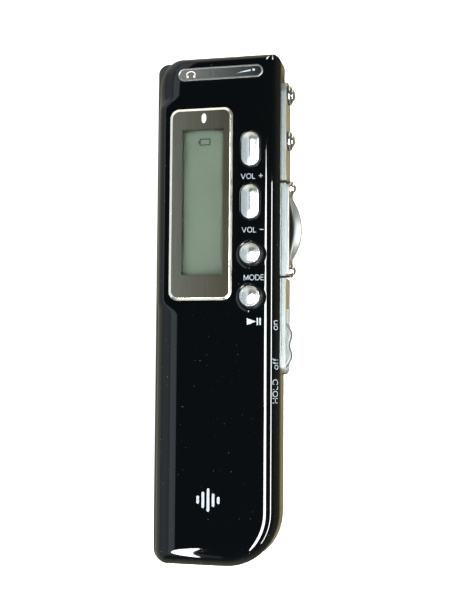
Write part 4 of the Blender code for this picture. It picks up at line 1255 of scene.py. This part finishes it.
def studio_world():
    """White where the camera looks past the floor; for the light, a dark ceiling, a dim tan surround and
    a soft grey-green window on the left in two bands."""
    world = bpy.data.worlds.new("studio")
    bpy.context.scene.world = world
    world.use_nodes = True
    tree = world.node_tree
    x, y, z = position(tree, "Generated")
    height = maths(tree, "MULTIPLY_ADD", z, 0.5, 0.5)
    surround = ramp(tree, height, (
        (0.0, (0.42, 0.38, 0.27)), (0.50, (0.55, 0.51, 0.40)), (0.56, (0.30, 0.30, 0.27)),
        (0.68, (0.09, 0.095, 0.095)), (0.85, (0.018, 0.020, 0.024)), (1.0, (0.008, 0.009, 0.011)),
    ))
    sideways = maths(tree, "MULTIPLY_ADD", x, 0.5, 0.5)
    surround = blend(tree, "MULTIPLY", 1.0, surround, ramp(tree, sideways, ((0.50, 1.0), (0.80, 0.38))))
    back_wall = blend(
        tree, "MULTIPLY", 1.0,
        ramp(tree, height, ((0.25, 0.6), (0.50, 1.0), (0.74, 1.0), (0.80, 0.0))),
        ramp(tree, y, ((0.45, 0.0), (0.75, 0.9))),
    )
    surround = blend(tree, "ADD", 1.0, surround, blend(tree, "MULTIPLY", 1.0, back_wall, (1.0, 0.95, 0.78)))
    left = maths(tree, "ARCTAN2", maths(tree, "MULTIPLY", x, -1.0), z)
    left = maths(tree, "DIVIDE", left, math.pi / 2)
    window = ramp(tree, left, (
        (0.20, 0.0), (0.23, 1.0), (0.42, 1.1), (0.48, 0.45), (0.56, 0.60), (0.76, 0.50), (0.92, 0.10),
    ))
    ends = ramp(tree, maths(tree, "ABSOLUTE", y), ((0.55, 1.0), (0.85, 0.0)))
    window = blend(tree, "MULTIPLY", 1.0, window, ends)
    window = blend(tree, "MULTIPLY", 1.0, window, (0.86, 0.97, 1.05))
    light = blend(tree, "ADD", 1.0, surround, window)
    camera_ray = tree.nodes.new("ShaderNodeLightPath").outputs["Is Camera Ray"]
    seen = blend(tree, "MIX", camera_ray, light, (1.0, 1.0, 1.0))
    tree.links.new(seen, tree.nodes["Background"].inputs["Color"])


def lights():
    """Two strips for the long highlights on the right edge, a low one for the highlight at the bottom
    and a fill that isn't mirrored."""
    panel("near_strip", 0, 68.5, 500, 112, 770, 7.2, (9, -242, 15), "ELLIPSE")
    panel("far_strip", 0, 35, 500, 42, 700, 3.2, (9, -232, 15))
    panel("low_window", -90, 55.9, 484, 15, 420, 0.6, (-141, -48.6, 15), "ELLIPSE")
    panel("overhead_fill", 90, 89, 900, 1200, 1200, 6.6, (0, 0, 0)).visible_glossy = False
    studio_world()


CAMERA_TURN, CAMERA_TILT, CAMERA_ROLL = 13.55, -4.2, 0.44
CAMERA_AIM = (2.47, 1.54, FACE)
CAMERA_DISTANCE = 210.3


def camera():
    """Looks down at the face from the keys' side, turned and tilted as the photograph's camera was."""
    turn, tilt, roll = (math.radians(angle) for angle in (CAMERA_TURN, CAMERA_TILT, CAMERA_ROLL))
    aim = Vector(CAMERA_AIM) * MM
    distance = CAMERA_DISTANCE * MM
    flip = Matrix.Diagonal((1, -1, -1))
    seen = Matrix.Rotation(tilt, 3, "X") @ Matrix.Rotation(turn, 3, "Y") @ Matrix.Rotation(roll, 3, "Z")
    facing = (flip @ seen @ flip).transposed()
    data = bpy.data.cameras.new("camera")
    data.sensor_fit = "VERTICAL"
    data.sensor_height = 36.0
    data.lens = 63.0
    data.clip_start = 0.01
    made = add_object("camera", data)
    made.matrix_world = Matrix.Translation(aim + facing @ Vector((0, 0, distance))) @ facing.to_4x4()
    bpy.context.scene.camera = made
    bpy.context.scene.view_settings.view_transform = "Standard"


camera()
stage()
lights()
front_cover()
rear_case()
battery_door()
display_bezel()
led_lens()
battery_mark()
for button_node, button_body, button_round in BUTTONS:
    front_button(button_node, button_body, button_round)
side_key("record_key", "record")
side_key("stop_key", "stop")
skip_rocker()
rocker_beads()
side_trim()
hold_slider()
jack("headphone_jack", "headphone_contact")
jack("microphone_jack", "microphone_contact")
usb_socket()
for screw_number in range(1, 5):
    case_screw(screw_number)
label_plate()
printing()
level_mark()
repaint()
